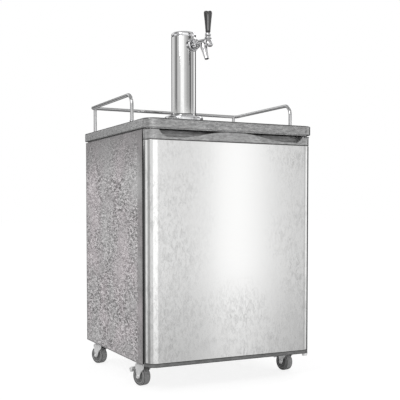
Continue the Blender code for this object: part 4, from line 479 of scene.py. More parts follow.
def grown(outline, by):
    """An anticlockwise outline moved outwards along its own normals, with corners mitred."""
    before = unit(outline - np.roll(outline, 1, 0))
    after = unit(np.roll(outline, -1, 0) - outline)
    normal = np.column_stack((before[:, 1] + after[:, 1], -before[:, 0] - after[:, 0]))
    square = np.maximum((normal**2).sum(1, keepdims=True), 0.5)
    return outline + normal * (2.0 * by / square)


def placed(points, place):
    """Points moved by a 4 by 4 matrix."""
    place = np.array(place)
    return points @ place[:3, :3].T + place[:3, 3]


def rings_round(radii, heights, angles):
    """A row of points round the Z axis for each radius and height."""
    radii, heights = (np.broadcast_to(rows, (len(rows), len(angles))) for rows in (radii, heights))
    return np.stack((radii * np.cos(angles), radii * np.sin(angles), heights), -1)


def angles_round(steps):
    return np.linspace(0.0, FULL_TURN, steps, endpoint=False)


def shell(points, loop=False):
    """Vertices and faces of a grid of points: columns join round, and rows loop or are capped."""
    rows, columns = points.shape[:2]
    index = np.arange(rows * columns).reshape(rows, columns)
    first = index if loop else index[:-1]
    second = np.roll(index, -1, 0) if loop else index[1:]
    quads = np.stack((first, np.roll(first, -1, 1), np.roll(second, -1, 1), second), -1)
    faces = quads.reshape(-1, 4).tolist()
    if not loop:
        faces += [index[0][::-1].tolist(), index[-1].tolist()]
    return points.reshape(-1, 3), faces


def rod(radius, low, high):
    """The profile of a solid cylinder."""
    return [(0.0, low), (radius, low), (radius, high), (0.0, high)]


def turned(profile, steps, place, closed=False):
    """A profile of radius and height swept once round the Z axis, then placed."""
    profile = np.asarray(profile, float)
    return shell(placed(rings_round(profile[:, :1], profile[:, 1:], angles_round(steps)), place), closed)


def stacked(rings):
    """Outlines, each raised to its own level."""
    return np.stack([np.column_stack((ring, np.full(len(ring), z))) for ring, z in rings])


def slab(outline, low, high, edge, place=IN_PLACE, steps=3):
    """An outline raised from one level to another, with rounded rims."""
    outline = np.asarray(outline, float)
    angles = np.linspace(0, QUARTER_TURN, steps + 1)
    held = edge + min(HOLD, 0.4 * (high - low - 2 * edge))
    insets = np.array((1.5 * edge, *(edge * (1 - np.sin(angles))), 0.0))
    rises = np.array((0.0, *(edge * (1 - np.cos(angles))), held))
    levels = [(inset, low + rise) for inset, rise in zip(insets, rises)]
    levels += [(inset, high - rise) for inset, rise in zip(insets[::-1], rises[::-1])]
    return shell(placed(stacked([(grown(outline, -inset), z) for inset, z in levels]), place))


def tube(path, radius):
    """A circle carried along a path that never runs in the direction ASIDE."""
    path = np.asarray(path, float)
    along = unit(np.gradient(path, axis=0))
    side = unit(np.cross(along, ASIDE))
    up = np.cross(side, along)
    angles = angles_round(TUBE_SIDES)
    ring = side[:, None] * np.cos(angles)[:, None] + up[:, None] * np.sin(angles)[:, None]
    return shell(path[:, None] + ring * radius)


def linked(name, data):
    """A new object in the scene."""
    obj = bpy.data.objects.new(name, data)
    bpy.context.scene.collection.objects.link(obj)
    return obj


def piece(name, shells, finish, body, node, sharp=38):
    """One object from closed shells of points, which rides on a body and stands for a node."""
    vertices, faces, offset = [], [], 0
    for points, polygons in shells:
        vertices.append(points)
        faces += [[corner + offset for corner in polygon] for polygon in polygons]
        offset += len(points)
    mesh = bpy.data.meshes.new(name)
    mesh.from_pydata(np.vstack(vertices).tolist(), [], faces)
    bm = bmesh.new()
    bm.from_mesh(mesh)
    bmesh.ops.remove_doubles(bm, verts=bm.verts, dist=MERGE_DISTANCE)
    bmesh.ops.recalc_face_normals(bm, faces=bm.faces)
    bm.to_mesh(mesh)
    bm.free()
    mesh.materials.append(finish)
    mesh.shade_smooth()
    mesh.set_sharp_from_angle(angle=math.radians(sharp))
    obj = linked(name, mesh)
    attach(obj, body)
    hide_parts(node)
    return obj


# Worktop

TRAY_LOW, TRAY_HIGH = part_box("drip_tray")
TRAY_RIM = 0.005
WELL_RADIUS = 0.007
TOP_RADII = (0.038, 0.038, 0.012, 0.012)
TOP_EDGE = 0.0034
SHADOW_GAP = 0.0028
SHADOW_DEPTH = 0.0100
CORNER_STEPS = 14


def make_worktop():
    """Rings from the well's floor, up its wall, over the top and round the rolled edge to a recessed seat."""
    well_low = (TRAY_LOW.x + TRAY_RIM, TRAY_LOW.y + TRAY_RIM)
    well_high = (TRAY_HIGH.x - TRAY_RIM, TRAY_HIGH.y - TRAY_RIM)
    well = rounded_box(well_low, well_high, (WELL_RADIUS,) * 4, CORNER_STEPS)
    outline = rounded_box(TOP_LOW[:2], TOP_HIGH[:2], TOP_RADII, CORNER_STEPS)
    top, under, edge = TOP_HIGH.z, TOP_LOW.z + SHADOW_GAP, TOP_EDGE
    angles = np.linspace(0, QUARTER_TURN, 7)
    levels = [(edge * (1 - math.sin(angle)), edge * (1 - math.cos(angle))) for angle in angles]
    rings = [(well, TRAY_LOW.z - 0.001), (well, top - 0.0014), (well, top - 0.0008)]
    rings += [(grown(well, 0.0008), top), (grown(well, 0.0014), top), (grown(outline, -edge - HOLD), top)]
    rings += [(grown(outline, -inset), top - drop) for inset, drop in levels]
    rings += [(outline, top - edge - HOLD), (outline, under + edge / 2 + HOLD)]
    rings += [(grown(outline, -inset / 2), under + drop / 2) for inset, drop in reversed(levels)]
    rings += [(grown(outline, -SHADOW_DEPTH), z) for z in (under, TOP_LOW.z)]
    piece("worktop_top", [shell(stacked(rings))], WORKTOP_PLASTIC, "cabinet", "worktop")


make_worktop()


# Door

SKIN_LOW, SKIN_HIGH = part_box("door_skin")
SHEET = 0.0012
SKIN_RETURN = 0.014
DOOR_RADIUS = 0.0340
DOOR_REAR_RADIUS = 0.0035
DOOR_STEPS = 20
SCOOP_END = 0.232
SCOOP_END_LENGTH = 0.030
SCOOP_LIP = 0.010
SCOOP_FLOOR = 0.005
# How far out each scoop's floor starts and ends, and the lengths of its slopes
FLOOR_SPAN = (0.056, 0.256)
FLOOR_SLOPES = (0.012, 0.010)
MIDDLE_HALF = 0.020
MIDDLE_FALL = 0.180
GROOVE = 0.0020
POCKET_WALL = 0.006
POCKET_DEPTH = 0.020
HINGE_LEAF = 0.0042
PIT_MARGINS = (0.0195, 0.0045)


def door_outline():
    radii = (DOOR_RADIUS, DOOR_RADIUS, DOOR_REAR_RADIUS, DOOR_REAR_RADIUS)
    return rounded_box(SKIN_LOW[:2], SKIN_HIGH[:2], radii, DOOR_STEPS)


def make_door_skin():
    """The sheet's outline, out along its front and back inside it, raised."""
    front_left, front_right, rear_right, rear_left = np.split(door_outline(), 4)
    lip_left = [(SKIN_LOW.x + SKIN_RETURN, SKIN_HIGH.y)]
    lip_right = [(SKIN_HIGH.x - SKIN_RETURN, SKIN_HIGH.y)]
    path = np.vstack((lip_left, rear_left, front_left, front_right, rear_right, lip_right))
    turn = unit(np.gradient(path, axis=0))
    inner = path + np.column_stack((-turn[:, 1], turn[:, 0])) * SHEET
    skin = slab(np.vstack((path, inner[::-1])), SKIN_LOW.z, SKIN_HIGH.z, 0.0003)
    piece("door_front", [skin], DOOR_STEEL, "door", "door_skin")


def lip_height(out):
    """The front lip: low in each scoop, a cosine up in the middle, a parabola up at the ends."""
    low, high = SKIN_HIGH.z + SCOOP_LIP, CAP_HIGH.z
    fall = np.clip((out - MIDDLE_HALF) / MIDDLE_FALL, 0.0, 1.0)
    middle = low + (high - low) * (1 + np.cos(HALF_TURN * fall)) / 2
    rise = np.clip((out - SCOOP_END) / SCOOP_END_LENGTH, 0.0, 1.0)
    return np.where(out > SCOOP_END, low + (high - low) * rise**2, middle)


def corner_drop(out, reach, radius):
    """How far a rounded corner has fallen away at a distance out from the door's middle."""
    share = np.clip((out - (reach - radius)) / radius, 0.0, 1.0)
    return radius * (1 - np.sqrt(np.maximum(1 - share**2, 0.0)))


def make_door_cap():
    """Sections of groove, lip, pocket and rear wall, carried along the door, with a pit for the hinge pin."""
    reach = SKIN_HIGH.x
    ends = reach - DOOR_RADIUS * (1 - np.sin(np.linspace(0, QUARTER_TURN, 30)))[::-1]
    scoop_end = SCOOP_END + SCOOP_END_LENGTH
    hinge_low, hinge_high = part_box("upper_hinge")
    pit_left, pit_right = (hinge_high.x - margin for margin in PIT_MARGINS)
    pit_stops = [pit_left - 0.0002, pit_left, pit_right, pit_right + 0.0002]
    end_stops = [scoop_end + 0.0002, scoop_end + 0.0012, scoop_end + 0.0017]
    stops = (np.linspace(0.0, scoop_end, 130), end_stops, ends, pit_stops)
    right = np.unique(np.round(np.concatenate(stops), 7))
    x = np.concatenate((-right[:0:-1], right))
    out = np.abs(x)
    front = SKIN_LOW.y + corner_drop(out, reach, DOOR_RADIUS)
    rear = SKIN_HIGH.y - corner_drop(out, reach, DOOR_REAR_RADIUS)
    top = np.where(x > scoop_end + 0.0015, hinge_high.z - HINGE_LEAF, CAP_HIGH.z)
    lip = np.minimum(lip_height(out), top)
    wall = SKIN_LOW.y + POCKET_WALL
    pocket_front = np.maximum(front, wall)
    pocket_rear = np.maximum(wall + POCKET_DEPTH, pocket_front + 0.004)
    sink, rise = (out - FLOOR_SPAN[0]) / FLOOR_SLOPES[0], (FLOOR_SPAN[1] - out) / FLOOR_SLOPES[1]
    scoop = np.clip(sink, 0, 1) * np.clip(rise, 0, 1)
    scoop = scoop**2 * (3 - 2 * scoop)
    floor = lip + (SKIN_HIGH.z + SCOOP_FLOOR - lip) * scoop
    shelf = np.where(out > scoop_end, top, floor)
    in_pit = (x > pit_left - 0.0001) & (x < pit_right + 0.0001)
    floor, shelf = (np.where(in_pit, hinge_low.z - 0.0012, level) for level in (floor, shelf))
    base = CAP_LOW.z
    edge = 0.0012
    rim = np.maximum(rear, pocket_rear + 0.001)
    recess = np.minimum(front + 0.0025, rear - 0.001)
    section = (
        (recess, base), (recess, base + GROOVE), (front + 0.0004, base + GROOVE),
        (front, base + GROOVE + 0.0004), (front, base + GROOVE + 0.0010), (front, lip - edge - HOLD),
        (front, lip - edge), (front + 0.3 * edge, lip - 0.3 * edge), (front + edge, lip),
        (pocket_front - 0.0006, lip), (pocket_front, lip - 0.0006 * scoop),
        (pocket_front + 0.002, floor + 0.0006 * scoop), (pocket_rear - 0.004, shelf),
        (pocket_rear, shelf + 0.003 * scoop), (pocket_rear + 0.0003, np.maximum(top - edge, shelf)),
        (pocket_rear + edge, top), (rim - edge, top), (rim, top - edge), (rear, base),
    )
    rows = [np.broadcast_arrays(x, np.minimum(y, rim), z) for y, z in section]
    cap = shell(np.stack([np.stack(row, -1) for row in rows], 1))
    piece("door_cap", [cap], CAP_PLASTIC, "door", "door_top_cap", 50)


def make_door_foot():
    foot = slab(door_outline(), FOOT_LOW.z, FOOT_HIGH.z, 0.0018, steps=4)
    piece("door_foot", [foot], FOOT_PLASTIC, "door", "door_bottom_cap")


make_door_skin()
make_door_cap()
make_door_foot()


# Guard rail

RAIL_LOW, RAIL_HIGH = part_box("guard_rail")
RAIL_RADIUS = 0.0057
RAIL_FRONT_BEND = 0.034
RAIL_REAR_BEND = 0.011
BEND_STEPS = 14
POST_RING = mm((5.9, 4), (6.6, 3.8), (7.3, 2.2), (7.3, 0), (5.9, 0))


def bend(corner, back, ahead, radius):
    """A quarter circle that rounds a square corner between two directions."""
    corner, back, ahead = (np.array(value, float) for value in (corner, back, ahead))
    angles = np.linspace(0, QUARTER_TURN, BEND_STEPS + 1)[:, None]
    curve = corner + (back * (1 - np.sin(angles)) + ahead * (1 - np.cos(angles))) * radius
    return np.vstack((corner + back * (radius + 2 * HOLD), curve, corner + ahead * (radius + 2 * HOLD)))


def make_rail():
    """A circle carried up the front post, back along one side, across the rear and down again."""
    x = RAIL_HIGH.x - RAIL_RADIUS
    front, rear = RAIL_LOW.y + RAIL_RADIUS, RAIL_HIGH.y - RAIL_RADIUS
    base, top = RAIL_LOW.z, RAIL_HIGH.z - RAIL_RADIUS
    right, forward, up = np.diag((1.0, -1.0, 1.0))
    path = np.vstack((
        [(-x, front, base)],
        bend((-x, front, top), -up, -forward, RAIL_FRONT_BEND),
        bend((-x, rear, top), forward, right, RAIL_REAR_BEND),
        bend((x, rear, top), -right, forward, RAIL_REAR_BEND),
        bend((x, front, top), -forward, -up, RAIL_FRONT_BEND),
        [(x, front, base)],
    ))
    inset = x - RAIL_REAR_BEND
    posts = [[(side, rear, base), (side, rear, base + 0.02), (side, rear, top)] for side in (-inset, inset)]
    rail = [tube(line, RAIL_RADIUS) for line in (path, *posts)]
    piece("rail_tube", rail, RAIL_CHROME, "cabinet", "guard_rail")
    foot = soften(POST_RING, 0.0006, closed=True)
    for corner, spot in zip(CORNERS, ((-x, front), (x, front), (-inset, rear), (inset, rear))):
        ring = turned(foot, 40, Matrix.Translation((*spot, base)), closed=True)
        piece(f"post_ring_{corner}", [ring], RAIL_CHROME, "cabinet", f"rail_foot_{corner}")


make_rail()


# Beer tower

COLUMN_LOW, COLUMN_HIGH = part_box("tower_column")
TOWER_RADIUS = (COLUMN_HIGH.x - COLUMN_LOW.x) / 2
TOWER_Y = (COLUMN_HIGH.y + COLUMN_LOW.y) / 2
TOWER = Matrix.Translation((0, TOWER_Y, 0))
TOWER_STEPS = 128
TOWER_WALL = 0.0015
SEAM_DROP = 0.0050
PLUG_DROP = 0.012
CROWN_ROUND = 0.0075


def make_column():
    low, seam = COLUMN_LOW.z, COLUMN_HIGH.z - SEAM_DROP
    wall = TOWER_RADIUS - TOWER_WALL
    profile = [(TOWER_RADIUS, seam), (TOWER_RADIUS, low), (wall, low), (wall, seam)]
    column = turned(profile, TOWER_STEPS, TOWER, closed=True)
    piece("tower_tube", [column], TOWER_STEEL, "cabinet", "tower_column")


def make_tower_cap():
    """A flat crown with a rounded rim, a skirt down to the seam and a plug inside the column."""
    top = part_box("tower_cap")[1].z
    lip = COLUMN_HIGH.z - SEAM_DROP + 0.0014
    plug = COLUMN_HIGH.z - PLUG_DROP
    wall = TOWER_RADIUS - TOWER_WALL - 0.0006
    centre = (TOWER_RADIUS - CROWN_ROUND, top - CROWN_ROUND)
    crown = [(radius, top) for radius in np.linspace(0.0, centre[0], 8)[:-1]]
    skirt = [(TOWER_RADIUS, centre[1] - HOLD), (TOWER_RADIUS, lip + 0.0004), (TOWER_RADIUS - 0.0003, lip)]
    inside = [(wall, lip), (wall, plug), (0.0, plug)]
    profile = np.vstack((crown, arc(centre, CROWN_ROUND, 90, 0, 10), skirt, inside))
    piece("tower_lid", [turned(profile, TOWER_STEPS, TOWER)], CHROME, "cabinet", "tower_cap")


def make_tower_base():
    low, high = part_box("tower_base")
    radius, top, bottom = (high.x - low.x) / 2, high.z, low.z
    bore = TOWER_RADIUS + 0.0003
    inner = [(bore, top), (bore + 0.0028, top), (bore + 0.0050, top - 0.0025)]
    outer = [(radius - 0.009, top - 0.0045), (radius - 0.0018, top - 0.0075), (radius, top - 0.0125)]
    under = [(radius, bottom + 0.002), (radius, bottom), (bore, bottom)]
    profile = soften(inner + outer + under, 0.0022, 5, closed=True)
    collar = turned(profile, TOWER_STEPS, TOWER, closed=True)
    piece("tower_collar", [collar], TAP_CHROME, "cabinet", "tower_base")


make_column()
make_tower_cap()
make_tower_base()


# Tap. Its frame's Y axis points back along the tap, and its profiles give a radius and a distance or height.

def frame_of(across):
    """The turn that lays local X across, Y back from the front and Z up."""
    return Matrix((across, UP.cross(across), UP)).transposed().to_4x4()


PIVOT = Vector(JOINTS["lever_tilt"]["pos_m"])
TAP_TURN = frame_of(Vector(JOINTS["lever_tilt"]["axis"]).normalized())
AXIS_DROP = 0.012
TAP = Matrix.Translation((0, TOWER_Y, PIVOT.z - AXIS_DROP)) @ TAP_TURN
ALONG_TAP = TAP @ Matrix.Rotation(QUARTER_TURN, 4, "X")
AT_PIVOT = Matrix.Translation(PIVOT) @ TAP_TURN
TAP_REACH = (PIVOT.xy - Vector((0.0, TOWER_Y))).length

FLANGE_FRONT = mm((9.3, 52), (16.5, 52), (18.5, 54), (20.5, 54), (23.2, 52), (24, 49.5))
FLANGE_RIM = 0.0240
FLANGE_BORE = 0.0093

NUT_RADIUS = 0.0165
NUT_PROFILE = mm((10.3, 72.5), (13.5, 72.5), (16.5, 69.5), (16.5, 55.7), (15.3, 54.5), (10.3, 54.5))
NUT_NOTCHES = 10
NOTCH_RADIUS = 0.0023
NOTCH_SHARE = 0.85
NOTCH_REACH = 0.004

BARREL = mm(
    (0, 118), (11.2, 118), (11.8, 98), (11.8, 82),
    (10.8, 74.5), (13, 70), (13, 67), (0, 67),
)
HEAD = mm(
    (0, 9.7), (10.2, 9.7), (10, 8.4), (10.6, 6), (11.8, 3), (13, -1),
    (13.5, -5), (13.3, -9), (12.1, -13), (9.8, -16.5), (6.2, -19), (0, -20.3),
)
# The head leans forward as it rises, and stands a little forward of the pivot
HEAD_LEAN = 0.30
HEAD_FORWARD = 0.0029
SPOUT = mm(
    (0, -7.5), (7, -6), (11.2, -1), (12.6, 8), (13, 18), (12.6, 24),
    (11.2, 32), (10.1, 40), (9.4, 48), (8.6, 56),
)
SPOUT_START = 0.0995
SPOUT_RUN = 0.0195
SPOUT_DROP = 0.0600
SPOUT_BORE = 0.0056
SPOUT_BORE_DEPTH = 0.014
CASTING_VOXEL = 0.00055

BONNET_DOME = 0.0114
BONNET_RING = mm((11.2, 1.1), (12.1, 0.8), (12.5, -0.1), (12.5, -1.1), (11.9, -1.9), (10.6, -2.1))
BONNET_BORE = mm((7.7, -2.1), (7.7, 4.8))
BALL = 0.007
FERRULE_CUP = 0.0119
FERRULE = mm((3.4, 19), (6.2, 19), (8.4, 17.8), (9.9, 15.6), (10.4, 12.8), (10.3, 10), (10, 8.8))

HANDLE_RADIUS = 0.0165
HANDLE_LOW = 0.0193
HANDLE_LENGTH = 0.0735
HANDLE_DIP = 0.0045
DIP_START = 0.88
LOBE_OFFSET = 0.43
LOBE_SIZE = 0.57
HANDLE_HEIGHTS = (0.0, 0.02, 0.05, 0.15, 0.30, 0.45, 0.60, 0.72, 0.82, 0.90, 0.945, 0.975, 0.992, 1.0)
HANDLE_WIDTHS = (0.52, 0.575, 0.60, 0.63, 0.69, 0.76, 0.83, 0.90, 0.96, 1.0, 0.985, 0.90, 0.72, 0.45)


def make_escutcheon():
    """A turned flange whose rear follows the column's curve."""
    front = soften(FLANGE_FRONT, 0.0012)
    angles = angles_round(96)
    rear = np.array(((FLANGE_RIM,), (FLANGE_BORE,)))
    depth = np.sqrt((TOWER_RADIUS + 0.0002) ** 2 - (rear * np.cos(angles)) ** 2)
    rows = (rings_round(front[:, :1], front[:, 1:], angles), rings_round(rear, depth, angles))
    flange = shell(placed(np.vstack(rows), ALONG_TAP), loop=True)
    piece("tap_flange", [flange], TAP_CHROME, "cabinet", "escutcheon", 45)


def make_coupling():
    """A turned ring whose outer radius dips in round notches."""
    profile = soften(NUT_PROFILE, 0.0008, closed=True)
    angles = angles_round(240)
    pitch = FULL_TURN / NUT_NOTCHES
    away = np.abs((angles / pitch + 0.5) % 1.0 - 0.5) * pitch * NUT_RADIUS
    dip = np.sqrt(np.maximum(NOTCH_RADIUS**2 - away**2, 0.0)) * NOTCH_SHARE
    radii = profile[:, :1] - np.where(profile[:, :1] > NUT_RADIUS - NOTCH_REACH, dip, 0.0)
    nut = shell(placed(rings_round(radii, profile[:, 1:], angles), ALONG_TAP), loop=True)
    piece("tap_nut", [nut], TAP_CHROME, "cabinet", "coupling_nut", 50)


def make_body():
    """Barrel, egg-shaped head and slanted spout, remeshed as one casting and relaxed into each other."""
    over_head = TAP @ Matrix.Translation((0, -TAP_REACH, 0))
    forward = Matrix(((1, 0, 0, 0), (0, 1, HEAD_LEAN, -HEAD_FORWARD), (0, 0, 1, 0), (0, 0, 0, 1)))
    lean, end = math.atan2(SPOUT_RUN, SPOUT_DROP), math.hypot(SPOUT_RUN, SPOUT_DROP)
    down = TAP @ Matrix.Translation((0, -SPOUT_START, 0)) @ Matrix.Rotation(HALF_TURN - lean, 4, "X")
    mouth = [(0.0080, end - 0.0015), (0.0076, end), (0.0058, end), (SPOUT_BORE, end - SPOUT_BORE_DEPTH)]
    spout = np.vstack((SPOUT, mouth, [(0.0, end - SPOUT_BORE_DEPTH)]))
    shells = [
        turned(soften(BARREL, 0.0012), 48, ALONG_TAP),
        turned(HEAD, 64, over_head @ forward),
        turned(soften(spout, 0.0006, 3), 48, down),
    ]
    body = piece("tap_casting", shells, TAP_CHROME, "cabinet", "tap_body", 60)
    remesh = body.modifiers.new("casting", "REMESH")
    remesh.mode = "VOXEL"
    remesh.voxel_size = CASTING_VOXEL
    remesh.use_smooth_shade = True
    relax = body.modifiers.new("relax", "SMOOTH")
    relax.factor = 0.5
    relax.iterations = 6


def make_bonnet():
    """A raised ring with the dome that holds the lever's ball rising inside it."""
    dome = arc((0, 0), BONNET_DOME, 37, 8, 8)
    bonnet = turned(np.vstack((dome, BONNET_RING, BONNET_BORE)), 72, AT_PIVOT, closed=True)
    piece("tap_collar", [bonnet], TAP_CHROME, "cabinet", "tap_bonnet")


def make_lever():
    """A ball with its rod and tail, and over it the ferrule, hollowed to clear the bonnet."""
    ball = arc((0, 0), BALL, 63, -75, 16)
    profile = np.vstack((mm((0, 30), (3.1, 30)), ball, mm((1.8, -12.6), (1.4, -13), (0, -13))))
    piece("lever_rod", [turned(profile, 40, AT_PIVOT)], TAP_CHROME, "lever", "tap_lever")
    cup = arc((0, 0), FERRULE_CUP, 43, 73, 8)
    outer = soften(np.vstack((FERRULE, cup[:1])), 0.0007)
    ferrule = turned(np.vstack((outer, cup[1:], mm((3.4, 11.5)))), 64, AT_PIVOT, closed=True)
    piece("lever_ferrule", [ferrule], TAP_CHROME, "lever", "handle_ferrule", 50)


def make_handle():
    """Four round lobes, whose union has radius e cos t + sqrt(c^2 - e^2 sin^2 t), widening up to domes."""
    stops = (np.linspace(0.0, 1.0, 60), np.linspace(0.9, 1.0, 24), np.linspace(0.0, 0.05, 8))
    share = np.unique(np.concatenate(stops))[:, None]
    angles = angles_round(144)
    off = (angles + QUARTER_TURN / 2) % QUARTER_TURN - QUARTER_TURN / 2
    lobe = LOBE_OFFSET * np.cos(off) + np.sqrt(LOBE_SIZE**2 - (LOBE_OFFSET * np.sin(off)) ** 2)
    radius = HANDLE_RADIUS * np.interp(share, HANDLE_HEIGHTS, HANDLE_WIDTHS) * lobe
    dipped = np.clip((share - DIP_START) / (1 - DIP_START), 0.0, 1.0) ** 1.5
    dip = HANDLE_DIP * (1 - lobe) / (1 - lobe.min()) * dipped
    height = HANDLE_LOW + HANDLE_LENGTH * share - dip
    handle = shell(placed(rings_round(radius, height, angles), AT_PIVOT))
    piece("tap_grip", [handle], HANDLE_GLOSS, "lever", "tap_handle", 50)


make_escutcheon()
make_coupling()
make_body()
make_bonnet()
make_lever()
make_handle()


# Casters

TOWARDS_SIDE = Matrix.Rotation(QUARTER_TURN, 4, "Y")
SIDEWAYS = Matrix(((0, 0, 1, 0), (1, 0, 0, 0), (0, 1, 0, 0), (0, 0, 0, 1)))
FORK_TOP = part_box("caster_fork_rear_left")[1].z
TRAIL = 0.026
AXLE_Z = 0.030
AT_AXLE = Matrix.Translation((0, TRAIL, AXLE_Z))
CHEEK_INNER = 0.0142
CHEEK_OUTER = 0.0162
BRIDGE_THICKNESS = 0.0022
PLATE_THICKNESS = 0.0025
RIVET_SPACING = 0.0215
AXLE_RADIUS = 0.0039
BOLT_RADIUS = 0.0064
BOLT_HEAD = 0.0036
BOLT_NUT = 0.0034
WASHER = 0.0009
# Half of the wheel's section: radius, and distance from the middle
WHEEL_HALF = mm(
    (4.3, 13.8), (8.5, 13.8), (9.2, 8.5), (18, 8.5), (20.5, 12.6), (23.6, 13), (24, 11.6),
    (25.6, 11.6), (26, 13), (28.2, 13), (29.8, 10.8), (30, 7),
)
WASHER_PROFILE = mm((4.1, 0), (6.8, 0), (6.8, 0.9), (4.1, 0.9))
RIVET_PROFILE = mm((0, -1.6), (2.2, -1.4), (3.6, -0.6), (3.8, 0.3), (0, 0.3))
BRAKE_ANGLE = math.radians(19)
BRAKE_HALF = 0.012
BRAKE_ROUND = 0.008
# The tab, its pad and its toe: start, end, inner corners, underside, top and edge rounding
BRAKE_PLATES = mm(
    (0, 45, 0.5, -1, 1, 0.6), (29, 45, 2, -9, 0.9, 2.8), (34.5, 46.5, 3, -13.5, 2, 4.5)
)
PIN_RADIUS = 0.0018
EYE_RADIUS = 0.0034


def caster_frame(corner):
    """The swivel axis on the floor, with local +Y along the trail."""
    swivel = Vector(JOINTS[f"swivel_{corner}"]["pos_m"])
    across = Vector(JOINTS[f"roll_{corner}"]["axis"]).normalized()
    return Matrix.Translation((swivel.x, swivel.y, 0.0)) @ frame_of(across)


def make_wheel(corner, place):
    """A flat tread with small shoulders, a grooved and dished face and a hub, turned round the axle."""
    axle = place @ AT_AXLE
    profile = np.vstack((WHEEL_HALF, WHEEL_HALF[::-1] * (1, -1)))
    wheel = turned(soften(profile, 0.0007, closed=True), 72, axle @ TOWARDS_SIDE, closed=True)
    rubber = worn_and_shaded_rubber(f"wheel_rubber_{corner}", grey(0.27), axle)
    piece(f"wheel_{corner}", [wheel], rubber, f"wheel_{corner}", f"caster_wheel_{corner}")


def make_axle(corner, place):
    """A bolt through the fork, with a washer under its head and another under its nut."""
    face = CHEEK_OUTER + 0.0003
    right = place @ AT_AXLE @ TOWARDS_SIDE
    left = right @ Matrix.Rotation(HALF_TURN, 4, "X")
    washer = soften(WASHER_PROFILE + (0.0, face), 0.0002, 2, closed=True)
    hexagon = soften(arc((0, 0), BOLT_RADIUS, 0, 300, 5), 0.0004, 2, closed=True)
    shaft = turned(rod(AXLE_RADIUS, -face - 0.0037, face + 0.001), 32, right)
    head = slab(hexagon, face + WASHER, face + BOLT_HEAD, 0.0005, right)
    nut = slab(hexagon, face + WASHER, face + BOLT_NUT, 0.0005, left)
    shells = [head, nut, shaft, *(turned(washer, 40, side, closed=True) for side in (right, left))]
    piece(f"axle_bolt_{corner}", shells, ZINC, f"fork_{corner}", f"caster_axle_{corner}")


def make_fork(corner, place):
    """Two rounded cheeks, the bridge over the wheel and the round swivel cap."""
    under = FORK_TOP - BRIDGE_THICKNESS
    lower = under - 0.010
    front, rear = -0.0022, 0.0400
    top = [(rear, lower + 0.005), (rear, FORK_TOP), (front, FORK_TOP), (front, lower), (0.0125, 0.0440)]
    eye = arc((TRAIL, AXLE_Z), 0.0075, -155, -15, 14)
    outline = soften(np.vstack((top, eye)), 0.003, closed=True)
    sides = ((CHEEK_INNER, CHEEK_OUTER), (-CHEEK_OUTER, -CHEEK_INNER))
    cheeks = [slab(outline, low, high, 0.0005, place @ SIDEWAYS) for low, high in sides]
    bridge = rounded_box((-CHEEK_OUTER, -0.010), (CHEEK_OUTER, rear), (0.004,) * 4, 5)
    bridge = slab(bridge, under, FORK_TOP - 0.0002, 0.0005, place)
    ring = [(0.0185, FORK_TOP), (0.0200, FORK_TOP - 0.0016), (0.0196, under), (0.0052, under)]
    cap = turned(soften([(0.0052, FORK_TOP)] + ring, 0.0008, 3, closed=True), 56, place, closed=True)
    shells = [*cheeks, bridge, cap]
    piece(f"fork_{corner}_press", shells, ZINC, f"fork_{corner}", f"caster_fork_{corner}")


def make_plate(corner, place):
    """The mounting plate with four rivet heads, and the ball race under it."""
    low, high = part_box(f"caster_plate_{corner}")
    flat = Matrix.Translation(place.translation)
    half = (high.x - low.x) / 2
    under, race_low = high.z - PLATE_THICKNESS, FORK_TOP + 0.0003
    outline = rounded_box((-half, -half), (half, half), (0.006,) * 4, 6)
    race = [(0.0, under), (0.0150, under), (0.0180, under - 0.0018), (0.0176, race_low), (0.0045, race_low)]
    race += [(0.0045, low.z + 0.0022), (0.0080, low.z + 0.0020), (0.0065, low.z), (0.0, low.z)]
    shells = [slab(outline, under, high.z, 0.0005, flat), turned(soften(race, 0.0008, 3), 48, flat)]
    for x, y in ((-1, -1), (-1, 1), (1, -1), (1, 1)):
        spot = Matrix.Translation((x * RIVET_SPACING, y * RIVET_SPACING, under))
        shells.append(turned(RIVET_PROFILE, 20, flat @ spot))
    piece(f"swivel_plate_{corner}", shells, ZINC, "cabinet", f"caster_plate_{corner}")


def make_brake(corner):
    """A pressed tab with a pad and a deeper rounded toe, an eye and the pin it turns on."""
    pivot = Matrix.Translation(Vector(JOINTS[f"press_brake_{corner}"]["pos_m"]))
    place = pivot @ caster_frame(corner).to_3x3().to_4x4() @ Matrix.Rotation(-BRAKE_ANGLE, 4, "X")
    shells = []
    for (start, end, front_round, low, high, edge), steps in zip(BRAKE_PLATES, (3, 6, 6)):
        radii = (front_round, front_round, BRAKE_ROUND, BRAKE_ROUND)
        outline = rounded_box((-BRAKE_HALF, start), (BRAKE_HALF, end), radii, 8)
        shells.append(slab(outline, low, high, edge, place, steps))
    eye = soften(rod(EYE_RADIUS, -BRAKE_HALF, BRAKE_HALF), 0.0006, 3)
    pin = rod(PIN_RADIUS, -CHEEK_OUTER, CHEEK_OUTER)
    shells += [turned(profile, steps, place @ TOWARDS_SIDE) for profile, steps in ((eye, 32), (pin, 24))]
    piece(f"brake_tab_{corner}", shells, ZINC, f"brake_{corner}", f"brake_lever_{corner}")


for corner in CORNERS:
    at_corner = caster_frame(corner)
    make_wheel(corner, at_corner)
    make_axle(corner, at_corner)
    make_fork(corner, at_corner)
    make_plate(corner, at_corner)
for corner in CORNERS[:2]:
    make_brake(corner)


# Studio and camera

